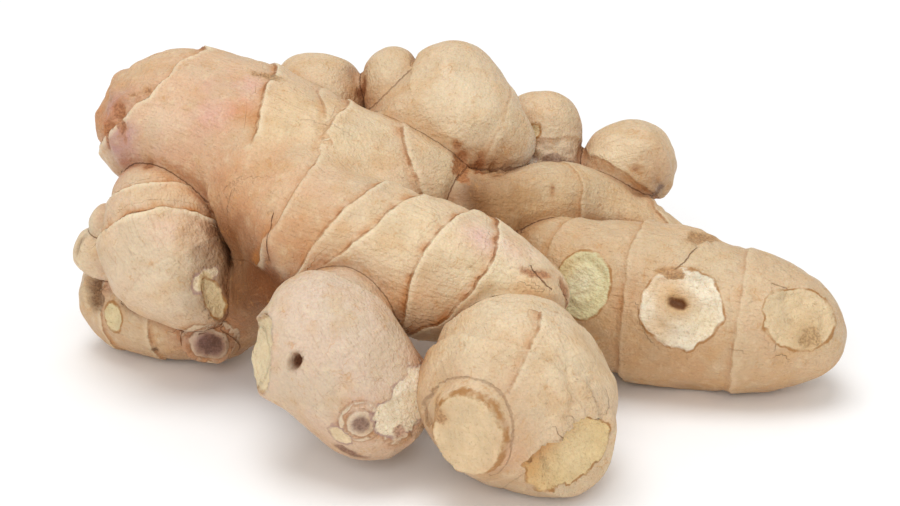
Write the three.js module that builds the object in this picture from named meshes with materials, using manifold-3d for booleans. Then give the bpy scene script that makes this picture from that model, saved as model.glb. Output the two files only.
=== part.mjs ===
// A fresh ginger rhizome ("hand" of ginger): a thick trunk with stubby side fingers, knobs and
// buds, all grown together as one solid. Millimetres, +Z up, +X along the longest extent.
// The origin is the middle of the footprint, on the surface that the rhizome lies on.
import * as THREE from 'three';
import { mergeVertices } from 'three/addons/utils/BufferGeometryUtils.js';
import Module from 'manifold-3d';

const SKIN_COLOUR = 0xdcb896;
const SKIN_ROUGHNESS = 0.72;

const SIDES = 18; // facets around a finger
const STEP = 5.5; // spacing of a finger's cross-sections, mm
const CAP_STEPS = 3; // cross-sections in a rounded end
const TENSION = 0.5; // plain Catmull-Rom
const MIN_SECTIONS = 3;

const FLOOR_SIZE = 400; // the block that trims the contact patches flat
const FLOOR_DEPTH = 40;

// Each finger is a round body along a curve. path lists [x, y, z, radius] on its centre line,
// and ends says how far each rounded end bulges, as a share of the radius there: 1 is a full
// hemisphere and 0.25 is nearly a flat cut.
const FINGERS = [
  { name: 'trunk', ends: [0.75, 1], path: [
    [-68, 31, 46.5, 12.5], [-60, 31.5, 47, 16.5], [-51, 27.5, 46, 18.5], [-41, 22.5, 43, 19],
    [-28, 17.5, 40, 17.5], [-16, 17, 38, 14.5], [-6, 19, 37, 9.5]] },
  { name: 'front_neck', ends: [1, 0.6], path: [
    [-36, 5, 39, 14], [-27, -7, 38, 13.5], [-17, -9.5, 36, 13.5], [-5, -13, 32.6, 14.4], [8, -15.5, 29, 12],
    [15.5, -20, 26, 10]] },
  { name: 'front_right_finger', ends: [1, 0.6], path: [
    [10, -29, 25, 9], [12, -39, 20.5, 17], [16, -42.5, 14.5, 17.5]] },
  { name: 'front_right_stub_left', ends: [1, 0.25], path: [
    [8, -49, 20, 9.5], [2, -54, 17, 8.5]] },
  { name: 'front_right_stub_right', ends: [1, 0.25], path: [
    [18.5, -45, 11.5, 12], [22.5, -50, 11.5, 9.5]] },
  { name: 'front_left_finger', ends: [1, 0.8], path: [
    [-22, -20, 28, 8], [-25, -31, 25, 13.5], [-20, -35, 18, 13.5], [-15.5, -37.5, 14, 10],
    [-12.5, -39, 12, 7.5]] },
  { name: 'front_left_stub', ends: [1, 0.25], path: [
    [-29, -31.5, 25, 10], [-36, -31.5, 24, 7]] },
  { name: 'side_finger', ends: [1, 0.8], path: [
    [-63, 20, 36, 10], [-62.5, 13, 33, 12], [-61.5, 7.5, 29, 13.5], [-56, 2, 23, 10],
    [-53, 0, 20, 6]] },
  { name: 'low_finger', ends: [1, 0.8], path: [
    [-35.5, -7, 28, 8.5], [-42.5, 3.5, 21, 9], [-54.5, 12.5, 13, 12.5],
    [-69.5, 18.5, 12.5, 12], [-75, 22.5, 12.5, 9.5]] },
  { name: 'low_bud', ends: [1, 0.6], path: [
    [-52, 4.5, 11, 7.5], [-52.5, 1, 10, 5.5]] },
  { name: 'left_knob_outer', ends: [1, 0.9], path: [
    [-70, 13, 26, 7.5], [-76.8, 13.8, 25.6, 6.2]] },
  { name: 'left_knob_inner', ends: [1, 0.9], path: [
    [-69, 12, 31, 6.5], [-74.5, 13.5, 32, 4.8]] },
  { name: 'back_hump', ends: [1, 1], path: [
    [-33.5, 43, 44, 10], [-30.2, 44, 49, 11]] },
  { name: 'back_finger', ends: [1, 0.6], path: [
    [-12, 31.5, 42, 10], [-3, 33.5, 47, 13.5], [5.5, 32, 44, 11], [10.5, 31.5, 42, 6.5]] },
  { name: 'back_finger_left_knob', ends: [1, 1], path: [
    [-11, 35, 50, 7.5], [-14.5, 41.5, 56, 6.5]] },
  { name: 'back_finger_right_knob', ends: [1, 1], path: [
    [0, 35, 50, 11], [-0.5, 36.5, 56, 8.5]] },
  { name: 'back_bud', ends: [1, 1], path: [
    [22, 36, 29, 7.5], [20.5, 42, 34, 7.8], [20, 47, 41, 8.6]] },
  { name: 'back_right_knob', ends: [1, 1], path: [
    [34, 39, 28, 7], [37.5, 41.5, 34, 9], [40, 41.5, 35, 9.5]] },
  { name: 'right_neck', ends: [1, 0.8], path: [
    [0, 16.5, 34, 8.5], [17.5, 24, 30, 10], [32.5, 31.5, 24, 10.5], [45.5, 28, 19, 8]] },
  { name: 'right_finger', ends: [1, 0.9], path: [
    [12, 17.5, 24, 7.5], [29, 9, 19.5, 14], [40, 7, 17, 17], [50.5, 4.5, 16, 16.5],
    [63.5, 0.5, 15, 14.5], [73, -1.5, 14, 11]] },
  { name: 'middle_core', ends: [1, 1], path: [
    [-10, 13, 28, 11.5], [3, 14.5, 25, 9.5], [13, 16, 22.5, 9]] },
  { name: 'rear_foot', ends: [1, 0.9], path: [
    [-27, 28.5, 36, 13], [-27, 43, 24, 12.5], [-25.5, 49.5, 11, 12.5]] },
];

const wasm = await Module();
wasm.setup();

// Turns a closed three.js geometry into a solid that can be joined and cut.
function toSolid(geometry) {
  const plain = geometry.clone();
  plain.deleteAttribute('normal');
  plain.deleteAttribute('uv');
  const merged = mergeVertices(plain);
  return new wasm.Manifold(new wasm.Mesh({
    numProp: 3,
    vertProperties: new Float32Array(merged.attributes.position.array),
    triVerts: new Uint32Array(merged.index.array),
  }));
}

function toGeometry(solid) {
  const mesh = solid.getMesh();
  const geometry = new THREE.BufferGeometry();
  geometry.setAttribute('position', new THREE.BufferAttribute(mesh.vertProperties, 3));
  geometry.setIndex(new THREE.BufferAttribute(mesh.triVerts, 1));
  geometry.computeVertexNormals();
  return geometry;
}

// The cross-sections of one finger, from tip to tip: each has its centre, its radius and the
// two directions that span it.
function fingerSections({ path, ends }) {
  const spine = new THREE.CatmullRomCurve3(
    path.map(([x, y, z]) => new THREE.Vector3(x, y, z)), false, 'catmullrom', TENSION);
  const swelling = new THREE.CatmullRomCurve3(
    path.map(([, , , radius]) => new THREE.Vector3(radius, 0, 0)), false, 'catmullrom', TENSION);

  const count = Math.max(MIN_SECTIONS, Math.ceil(spine.getLength() / STEP));
  const frames = spine.computeFrenetFrames(count, false);
  const sections = frames.tangents.map((tangent, i) => {
    const t = spine.getUtoTmapping(i / count);
    return {
      centre: spine.getPoint(t),
      radius: swelling.getPoint(t).x,
      tangent,
      across: frames.normals[i],
      over: new THREE.Vector3().crossVectors(frames.normals[i], tangent),
    };
  });

  const roundEnd = (section, bulge) => Array.from({ length: CAP_STEPS }, (_, i) => {
    const angle = ((i + 1) / CAP_STEPS) * Math.PI / 2;
    return {
      ...section,
      centre: section.centre.clone().addScaledVector(
        section.tangent, bulge * section.radius * Math.sin(angle)),
      radius: i + 1 === CAP_STEPS ? 0 : section.radius * Math.cos(angle),
    };
  });
  return [
    ...roundEnd(sections[0], -ends[0]).reverse(),
    ...sections,
    ...roundEnd(sections[count], ends[1]),
  ];
}

// A finger starts as a straight spindle whose height counts the cross-sections, and each ring
// of it is then carried to its place on the spine.
function fingerGeometry(finger) {
  const sections = fingerSections(finger);
  const profile = sections.map(({ radius }, i) => new THREE.Vector2(radius > 0 ? 1 : 0, i));
  const geometry = new THREE.LatheGeometry(profile, SIDES);
  const position = geometry.attributes.position;
  const point = new THREE.Vector3();
  for (let i = 0; i < position.count; i += 1) {
    point.fromBufferAttribute(position, i);
    const { centre, radius, across, over } = sections[Math.round(point.y)];
    const placed = centre.clone()
      .addScaledVector(across, radius * point.x)
      .addScaledVector(over, radius * point.z);
    position.setXYZ(i, placed.x, placed.y, placed.z);
  }
  return geometry;
}

// What lies below the surface is trimmed away, which leaves a flat patch under each finger
// that the rhizome rests on.
function floorBlock() {
  const block = new THREE.BoxGeometry(FLOOR_SIZE, FLOOR_SIZE, FLOOR_DEPTH);
  block.translate(0, 0, -FLOOR_DEPTH / 2);
  return toSolid(block);
}

const rhizome = FINGERS
  .map((finger) => toSolid(fingerGeometry(finger)))
  .reduce((whole, finger) => whole.add(finger))
  .subtract(floorBlock());

const skin = new THREE.MeshStandardMaterial({
  color: SKIN_COLOUR, roughness: SKIN_ROUGHNESS, metalness: 0,
});
const mesh = new THREE.Mesh(toGeometry(rhizome), skin);
mesh.name = 'ginger_rhizome';

const group = new THREE.Group();
group.add(mesh);

export default group;
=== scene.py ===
"""A fresh ginger rhizome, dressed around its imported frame.

The frame gives the rhizome's place, its outer box and the body that it rides on. The skin is built
here as one closed surface: every finger is a round profile carried along a curve, the fingers are
welded into one skin, and rings, scars, cut faces and cracks are then worked into it.

Lengths in the tables are millimetres in the frame's own axes; meshes are written in metres.
"""

import logging
import math
from dataclasses import dataclass
from enum import Enum, IntEnum

import bpy
import numpy as np
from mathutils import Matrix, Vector


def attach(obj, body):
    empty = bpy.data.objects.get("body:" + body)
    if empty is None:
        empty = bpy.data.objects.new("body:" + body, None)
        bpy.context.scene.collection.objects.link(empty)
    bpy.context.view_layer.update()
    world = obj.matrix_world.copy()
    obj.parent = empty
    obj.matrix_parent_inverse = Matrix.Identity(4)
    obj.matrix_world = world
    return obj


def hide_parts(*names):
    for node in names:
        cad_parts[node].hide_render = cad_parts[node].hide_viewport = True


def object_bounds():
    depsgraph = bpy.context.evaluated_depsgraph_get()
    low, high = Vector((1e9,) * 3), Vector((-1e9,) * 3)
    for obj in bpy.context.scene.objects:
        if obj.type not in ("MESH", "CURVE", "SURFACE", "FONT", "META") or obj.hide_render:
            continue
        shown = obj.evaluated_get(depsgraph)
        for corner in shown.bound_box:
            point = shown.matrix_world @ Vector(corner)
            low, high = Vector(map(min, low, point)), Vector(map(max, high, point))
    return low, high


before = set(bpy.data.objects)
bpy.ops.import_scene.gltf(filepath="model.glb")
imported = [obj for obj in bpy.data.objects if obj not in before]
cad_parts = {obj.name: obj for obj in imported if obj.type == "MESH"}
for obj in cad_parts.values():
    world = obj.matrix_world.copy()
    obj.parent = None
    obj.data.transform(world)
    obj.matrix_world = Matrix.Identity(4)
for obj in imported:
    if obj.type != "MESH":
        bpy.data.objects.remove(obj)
CAD_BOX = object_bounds()

LOG = logging.getLogger("ginger")
Array = np.ndarray
Point = tuple[float, float, float]

MM = 0.001
FAR = 99.0  # the distance given to points that a mark or a finger doesn't reach, in millimetres
TINY = 1e-9
NODE = "ginger_rhizome"
BODY = "root"
SLOT = "ginger_skin"

# A thin line fades out between these distances from its middle, in millimetres, and where it
# shows less than this it isn't recorded.
LINE_FADE_MM = (1.8, 2.7)
LEAST_TINT = 0.02

# The noise repeats after this many cells, and each seed starts it somewhere within the offset.
NOISE_CELLS = 256
NOISE_OFFSET = 50.0


class Seed(IntEnum):
    """Which random values each pattern uses. A scar's and a ring's own seeds come from their
    places, and stay below the two limits."""

    SCAR_GRAIN = 17
    FLESH_CLOUD = 23
    STAIN_FRAY = 31
    CREASE_STRAY = 51
    RING_BREAKS = 61
    CRACK_STRAY = 71
    CRACK_RIPPLE = 72
    FOLDS = 83
    FINE_FOLDS = 84
    SCAR_LIMIT = 991
    RING_LIMIT = 997


# ---------------------------------------------------------------- small array helpers


def unit(vectors: Array) -> Array:
    """Scales each vector in the last axis to length one."""
    return vectors / np.maximum(np.linalg.norm(vectors, axis=-1, keepdims=True), TINY)


def smoothstep(low: float, high: float, values: Array) -> Array:
    """The cubic step 3t^2 - 2t^3, from 0 at low to 1 at high."""
    t = np.clip((values - low) / (high - low), 0.0, 1.0)
    return t * t * (3.0 - 2.0 * t)


def bump(values: Array, width: float) -> Array:
    """The bell exp(-(value / width)^2)."""
    return np.exp(-np.square(values / width))


def catmull_rom(points: Array, count: int) -> Array:
    """Samples a uniform Catmull-Rom curve through the points.

    Between points b and c, with neighbours a and d, the curve is
    (2b + (c - a) t + (2a - 5b + 4c - d) t^2 + (3b - a - 3c + d) t^3) / 2.

    Args:
        points: One row for each point, in any number of dimensions.
        count: How many samples to return.

    Returns:
        The samples, one row each, evenly spaced in the curve's parameter.
    """
    padded = np.vstack([2 * points[0] - points[1], points, 2 * points[-1] - points[-2]])
    place = np.linspace(0.0, len(points) - 1.0, count)
    index = np.minimum(place.astype(int), len(points) - 2)
    t = (place - index)[:, None]
    a, b, c, d = (padded[index + shift] for shift in range(4))
    return 0.5 * (2 * b + (c - a) * t + (2 * a - 5 * b + 4 * c - d) * t**2
                  + (3 * b - a - 3 * c + d) * t**3)


def value_noise(points: Array, scale: float, seed: int) -> Array:
    """Smooth noise from -1 to 1: random values on a grid of cubes, blended inside each cube.

    Along each axis the blend is 6t^5 - 15t^4 + 10t^3, with t from 0 to 1 across the cube.

    Args:
        points: Positions in millimetres, one row each.
        scale: The side of a grid cube in millimetres.
        seed: Which random values to use.

    Returns:
        One value for each point.
    """
    rng = np.random.default_rng(seed)
    order = rng.permutation(NOISE_CELLS)
    levels = rng.uniform(-1.0, 1.0, NOISE_CELLS)
    place = points / scale + rng.uniform(0.0, NOISE_OFFSET, 3)
    cell = np.floor(place).astype(np.int64)
    t = place - cell
    t = t * t * t * (t * (6.0 * t - 15.0) + 10.0)
    total = np.zeros(len(points))
    for corner in np.ndindex(2, 2, 2):
        x, y, z = ((cell + corner) % NOISE_CELLS).T
        column = order[(order[x] + y) % NOISE_CELLS]
        value = levels[order[(column + z) % NOISE_CELLS]]
        near = np.where(corner, t, 1.0 - t)
        total += near[:, 0] * near[:, 1] * near[:, 2] * value
    return total


def rough_noise(points: Array, scale: float, seed: int, octaves: int = 3) -> Array:
    """Sums value noise over octaves, each half the size and half the height of the last."""
    layers = (value_noise(points, scale / 2**k, seed + k) / 2**k for k in range(octaves))
    return sum(layers)


def seed_at(at: Point, limit: int) -> int:
    """Gives a mark its own seed: its coordinates' sum in tenths of a millimetre, below a limit."""
    return int(abs(sum(at)) * 10) % limit


def plane_axes(facing: Array) -> tuple[Array, Array]:
    """Gives two unit vectors that span the plane across a direction; the first is level."""
    across = unit(np.cross((0.0, 0.0, 1.0), facing))
    return across, np.cross(facing, across)


# ---------------------------------------------------------------- the fingers


@dataclass(frozen=True)
class Reading:
    """How a finger sees a set of points.

    Attributes:
        distance: Signed distance to the finger's surface, negative inside.
        outward: The direction in which that distance grows.
        grain: Place in the finger's own frame: two coordinates across it and one along it.
    """

    distance: Array
    outward: Array
    grain: Array


@dataclass(frozen=True)
class Finger:
    """A round body along a curve: (x, y, z, radius) on its centre line, and how far its two
    rounded ends bulge, as a share of the radius there."""

    name: str
    ends: tuple[float, float]
    path: tuple[tuple[float, float, float, float], ...]

    upright = 0.9  # a spine that starts steeper than this takes its first side from +Y
    narrow_mm = 0.001  # the radius left at the tip of a cap, so that no ring is a single point

    def sections(self, count: int = 24) -> tuple[Array, Array, Array, Array, Array]:
        """Places cross-sections along the spine, each turned as little as possible from the last.

        The side of each is the side before, less its part along the tangent, at length one.

        Args:
            count: How many cross-sections to place.

        Returns:
            Centres, radii, tangents and the two directions across, one row for each section.
        """
        samples = catmull_rom(np.array(self.path), count)
        centre, radius = samples[:, :3], samples[:, 3]
        tangent = unit(np.gradient(centre, axis=0))
        across = np.zeros_like(tangent)
        side = np.array((0.0, 0.0, 1.0))
        if abs(tangent[0, 2]) >= self.upright:
            side = np.array((0.0, 1.0, 0.0))
        for i, direction in enumerate(tangent):
            side = unit(side - direction * (side @ direction))
            across[i] = side
        return centre, radius, tangent, across, np.cross(tangent, across)

    def surface(self, sides: int = 40, cap_steps: int = 7) -> tuple[Array, Array]:
        """Carries a circle along the spine and closes both ends with half ellipsoids.

        A point of the surface is centre + radius (cos(turn) across + sin(turn) over); in a cap
        the centre runs on by bulge * radius * sin(lift) while the radius shrinks by cos(lift).

        Args:
            sides: How many points go round it.
            cap_steps: How many rings close each end.

        Returns:
            Vertices in millimetres, and quads as rows of four indices.
        """
        centre, radius, tangent, across, over = self.sections()
        lift = np.linspace(0.0, math.pi / 2, cap_steps + 1)[1:]
        order = []
        for end, bulge, sign in ((0, self.ends[0], -1.0), (-1, self.ends[1], 1.0)):
            run = sign * bulge * radius[end] * np.sin(lift)[:, None] * tangent[end]
            shrink = np.maximum(radius[end] * np.cos(lift), self.narrow_mm)
            spans = [np.tile(axis[end], (cap_steps, 1)) for axis in (across, over)]
            order.append((centre[end] + run, shrink, *spans))
        first, last = order
        first = tuple(part[::-1] for part in first)
        rows = [np.concatenate(parts) for parts in
                zip(first, (centre, radius, across, over), last)]
        turn = np.linspace(0.0, 2 * math.pi, sides, endpoint=False)
        ring = (np.cos(turn)[None, :, None] * rows[2][:, None]
                + np.sin(turn)[None, :, None] * rows[3][:, None])
        points = rows[0][:, None] + rows[1][:, None, None] * ring
        index = np.arange(points.shape[0] * sides).reshape(-1, sides)
        ahead = np.roll(index, -1, axis=1)
        quads = np.stack([index[:-1], ahead[:-1], ahead[1:], index[1:]], axis=-1).reshape(-1, 4)
        return points.reshape(-1, 3), quads

    def read(self, points: Array, margin: float = 9.0) -> Reading:
        """Measures points against the finger as a chain of cones, with its flattened ends.

        The nearest place on each spine segment gives distance = |arm| - radius, where arm runs
        from that place to the point. Past an end of the spine the arm's part along the tangent
        is divided by that end's bulge first.

        Args:
            points: Positions in millimetres, one row each.
            margin: Points further than this outside the finger's box are left at FAR.

        Returns:
            The finger's reading of every point.
        """
        centre, radius, tangent, across, over = self.sections()
        low = (centre - radius[:, None]).min(0) - margin
        high = (centre + radius[:, None]).max(0) + margin
        close = ((points > low) & (points < high)).all(1)
        local = points[close]
        step = np.diff(centre, axis=0)
        length = np.linalg.norm(step, axis=1)
        start_along = np.concatenate([[0.0], np.cumsum(length)[:-1]])
        offset = local[:, None] - centre[None, :-1]
        t = np.clip((offset * step).sum(2) / length**2, 0.0, 1.0)
        reach = np.linalg.norm(offset - t[..., None] * step, axis=2)
        pick = (reach - (radius[:-1] + t * np.diff(radius))).argmin(axis=1)
        row = np.arange(len(local))
        t = t[row, pick]
        arm = offset[row, pick] - t[:, None] * step[pick]
        for place, end, bulge in ((0.0, 0, self.ends[0]), (1.0, -1, self.ends[1])):
            axis = tangent[end]
            past = arm @ axis
            last = (pick == (0 if end == 0 else len(step) - 1)) & (t == place)
            beyond = last & ((past < 0) if end == 0 else (past > 0))
            stretch = np.where(beyond, 1.0 / bulge - 1.0, 0.0)
            arm = arm + (past * stretch)[:, None] * axis
            outward = arm + ((arm @ axis) * stretch)[:, None] * axis
        width = radius[pick] + t * (radius[pick + 1] - radius[pick])
        blend = t[:, None]
        frame_u = across[pick] + blend * (across[pick + 1] - across[pick])
        frame_v = over[pick] + blend * (over[pick + 1] - over[pick])
        along = start_along[pick] + t * length[pick]
        result = Reading(np.full(len(points), FAR), np.zeros_like(points), np.zeros_like(points))
        result.distance[close] = np.linalg.norm(arm, axis=1) - width
        result.outward[close] = unit(outward)
        result.grain[close] = np.stack(
            [(arm * frame_u).sum(1), (arm * frame_v).sum(1), along], axis=1)
        return result


FINGERS = (
    Finger("trunk", (0.75, 1.0), (
        (-68, 31, 46.5, 12.5), (-60, 31.5, 47, 16.5), (-51, 27.5, 46, 18.5), (-41, 22.5, 43, 19),
        (-28, 17.5, 40, 17.5), (-16, 17, 38, 14.5), (-6, 19, 37, 9.5))),
    Finger("front_neck", (1.0, 0.6), (
        (-36, 5, 39, 14), (-27, -7, 38, 13.5), (-17, -9.5, 36, 13.5), (-5, -13, 32.6, 14.4),
        (8, -15.5, 29, 12), (15.5, -20, 26, 10))),
    Finger("front_right_finger", (1.0, 0.6), (
        (10, -29, 25, 9), (12, -39, 20.5, 17), (16, -42.5, 14.5, 17.5))),
    Finger("front_right_stub_left", (1.0, 0.25), ((8, -49, 20, 9.5), (2, -54, 17, 8.5))),
    Finger("front_right_stub_right", (1.0, 0.25), ((18.5, -45, 11.5, 12), (22.5, -50, 11.5, 9.5))),
    Finger("front_left_finger", (1.0, 0.8), (
        (-22, -20, 28, 8), (-25, -31, 25, 13.5), (-20, -35, 18, 13.5), (-15.5, -37.5, 14, 10),
        (-12.5, -39, 12, 7.5))),
    Finger("front_left_stub", (1.0, 0.25), ((-29, -31.5, 25, 10), (-36, -31.5, 24, 7))),
    Finger("side_finger", (1.0, 0.8), (
        (-63, 20, 36, 10), (-62.5, 13, 33, 12), (-61.5, 7.5, 29, 13.5), (-56, 2, 23, 10),
        (-53, 0, 20, 6))),
    Finger("low_finger", (1.0, 0.8), (
        (-35.5, -7, 28, 8.5), (-42.5, 3.5, 21, 9), (-54.5, 12.5, 13, 12.5),
        (-69.5, 18.5, 12.5, 12), (-75, 22.5, 12.5, 9.5))),
    Finger("low_bud", (1.0, 0.6), ((-52, 4.5, 11, 7.5), (-52.5, 1, 10, 5.5))),
    Finger("left_knob_outer", (1.0, 0.9), ((-70, 13, 26, 7.5), (-76.8, 13.8, 25.6, 6.2))),
    Finger("left_knob_inner", (1.0, 0.9), ((-69, 12, 31, 6.5), (-74.5, 13.5, 32, 4.8))),
    Finger("back_hump", (1.0, 1.0), ((-33.5, 43, 44, 10), (-30.2, 44, 49, 11))),
    Finger("back_finger", (1.0, 0.6), (
        (-12, 31.5, 42, 10), (-3, 33.5, 47, 13.5), (5.5, 32, 44, 11), (10.5, 31.5, 42, 6.5))),
    Finger("back_finger_left_knob", (1.0, 1.0), ((-11, 35, 50, 7.5), (-14.5, 41.5, 56, 6.5))),
    Finger("back_finger_right_knob", (1.0, 1.0), ((0, 35, 50, 11), (-0.5, 36.5, 56, 8.5))),
    Finger("back_bud", (1.0, 1.0), ((22, 36, 29, 7.5), (20.5, 42, 34, 7.8), (20, 47, 41, 8.6))),
    Finger("back_right_knob", (1.0, 1.0), (
        (34, 39, 28, 7), (37.5, 41.5, 34, 9), (40, 41.5, 35, 9.5))),
    Finger("right_neck", (1.0, 0.8), (
        (0, 16.5, 34, 8.5), (17.5, 24, 30, 10), (32.5, 31.5, 24, 10.5), (45.5, 28, 19, 8))),
    Finger("right_finger", (1.0, 0.9), (
        (12, 17.5, 24, 7.5), (29, 9, 19.5, 14), (40, 7, 17, 17), (50.5, 4.5, 16, 16.5),
        (63.5, 0.5, 15, 14.5), (73, -1.5, 14, 11))),
    Finger("middle_core", (1.0, 1.0), ((-10, 13, 28, 11.5), (3, 14.5, 25, 9.5), (13, 16, 22.5, 9))),
    Finger("rear_foot", (1.0, 0.9), (
        (-27, 28.5, 36, 13), (-27, 43, 24, 12.5), (-25.5, 49.5, 11, 12.5))),
)
FINGER_INDEX = {finger.name: i for i, finger in enumerate(FINGERS)}

# How softly two fingers flow into each other, in millimetres; other pairs meet in a tight crease.
CREASE_MM = 1.2
WELDS_MM = {
    ("trunk", "front_neck"): 9.0,
    ("trunk", "back_hump"): 6.0,
    ("trunk", "back_finger"): 4.0,
    ("trunk", "rear_foot"): 8.0,
    ("trunk", "side_finger"): 1.2,
    ("back_finger", "back_finger_left_knob"): 4.0,
    ("back_finger", "back_finger_right_knob"): 7.0,
    ("front_right_finger", "front_right_stub_left"): 5.0,
    ("front_right_finger", "front_right_stub_right"): 6.0,
    ("front_left_finger", "front_left_stub"): 7.0,
    ("front_neck", "front_left_finger"): 4.0,
    ("right_neck", "back_right_knob"): 3.0,
    ("right_neck", "middle_core"): 6.0,
    ("low_finger", "front_neck"): 5.0,
    ("low_finger", "low_bud"): 2.5,
}


# ---------------------------------------------------------------- the skin being worked


class Layer(Enum):
    """A kind of bared or grown-over surface. Its value names the attribute that holds the signed
    distance to its border in millimetres, negative inside."""

    PEEL = "peel_mm"
    CUT = "cut_mm"
    CORK = "cork_mm"
    PIT = "pit_mm"


class Line(Enum):
    """A kind of thin line. Its value names the attribute with the signed distance across it."""

    RING = "ring_mm"
    CRACK = "crack_mm"


# Bared ginger flesh, away from the faces that have a colour of their own.
FLESH_COLOUR = "#e6cfaa"


def linear(colour: str) -> Array:
    """Turns an sRGB hex colour into linear red, green and blue.

    A channel c from 0 to 1 becomes c / 12.92 up to 0.04045, and ((c + 0.055) / 1.055)^2.4 above.
    """
    channels = np.array([int(colour[i:i + 2], 16) for i in (1, 3, 5)]) / 255
    return np.where(channels <= 0.04045, channels / 12.92, ((channels + 0.055) / 1.055) ** 2.4)


class Skin:
    """The surface as whole arrays, one row for each vertex, while marks are worked into it.

    Attributes:
        points: Positions in millimetres before the marks.
        normals: The way each point faces.
        distances: Signed distance to every finger, one row for each finger.
        gap: How much further the second nearest finger is than the nearest.
        owner: The nearest finger's index.
        lift: How far each point is to move along its normal.
        shift: How far each point is to move freely.
        tone: The skin's linear colour.
        flesh: The linear colour below the skin, where it is bared.
        borders: Signed distance to each layer's border.
        lines: Signed distance across the nearest line of each kind.
        tints: How strongly that line shows.
    """

    # Where a finger's share starts and is full across the crease to the next, in millimetres.
    share_edge_mm = (-0.3, 1.4)

    def __init__(self, points: Array, normals: Array, distances: Array) -> None:
        """Starts with bare arrays, before any mark.

        Args:
            points: Positions in millimetres, one row each.
            normals: The way each point faces.
            distances: Signed distance to every finger, one row for each finger.
        """
        order = np.argsort(distances, axis=0)
        row = np.arange(len(points))
        self.points = points
        self.normals = normals
        self.distances = distances
        self.owner = order[0]
        self.gap = distances[order[1], row] - distances[order[0], row]
        self.lift = np.zeros(len(points))
        self.shift = np.zeros_like(points)
        self.tone = np.zeros_like(points)
        self.flesh = np.tile(linear(FLESH_COLOUR), (len(points), 1))
        self.borders = {layer: np.full(len(points), FAR) for layer in Layer}
        self.lines = {line: np.full(len(points), FAR) for line in Line}
        self.tints = {line: np.zeros(len(points)) for line in Line}

    def share(self, names: tuple[str, ...]) -> Array:
        """Tells the named fingers from the others.

        Args:
            names: The fingers' names.

        Returns:
            1 on the named fingers and 0 on the others, soft over the crease between them.
        """
        inside = np.zeros(len(FINGERS), dtype=bool)
        inside[[FINGER_INDEX[name] for name in names]] = True
        own = self.distances[inside].min(0)
        other = self.distances[~inside].min(0)
        return smoothstep(*self.share_edge_mm, other - own)

    def near(self, at: Point, reach: float) -> Array:
        """Lists the points within reach of a place."""
        return np.flatnonzero(((self.points - np.array(at)) ** 2).sum(1) < reach * reach)

    def blend(self, layer: Array, rows: Array, colour: Array, weight: Array) -> None:
        """Mixes a linear colour into the tone or the flesh at the listed points."""
        layer[rows] += weight[:, None] * (colour - layer[rows])

    def draw_line(self, line: Line, rows: Array, signed: Array, tint: Array) -> None:
        """Records a line where it is nearer than the lines drawn before it.

        Args:
            line: The kind of line.
            rows: Which points the next two are given for.
            signed: The distance across the line, in millimetres.
            tint: How strongly it shows, from 0 to 1.
        """
        nearer = (np.abs(signed) < np.abs(self.lines[line][rows])) & (tint > LEAST_TINT)
        self.lines[line][rows[nearer]] = signed[nearer]
        self.tints[line][rows[nearer]] = tint[nearer]

    def moved(self) -> Array:
        """Applies the marks' moves and keeps everything on or above the resting surface.

        Returns:
            The moved points, in millimetres.
        """
        points = self.points + self.shift + self.lift[:, None] * self.normals
        points[:, 2] = np.maximum(points[:, 2], 0.0)
        return points


# ---------------------------------------------------------------- marks in the skin


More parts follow.
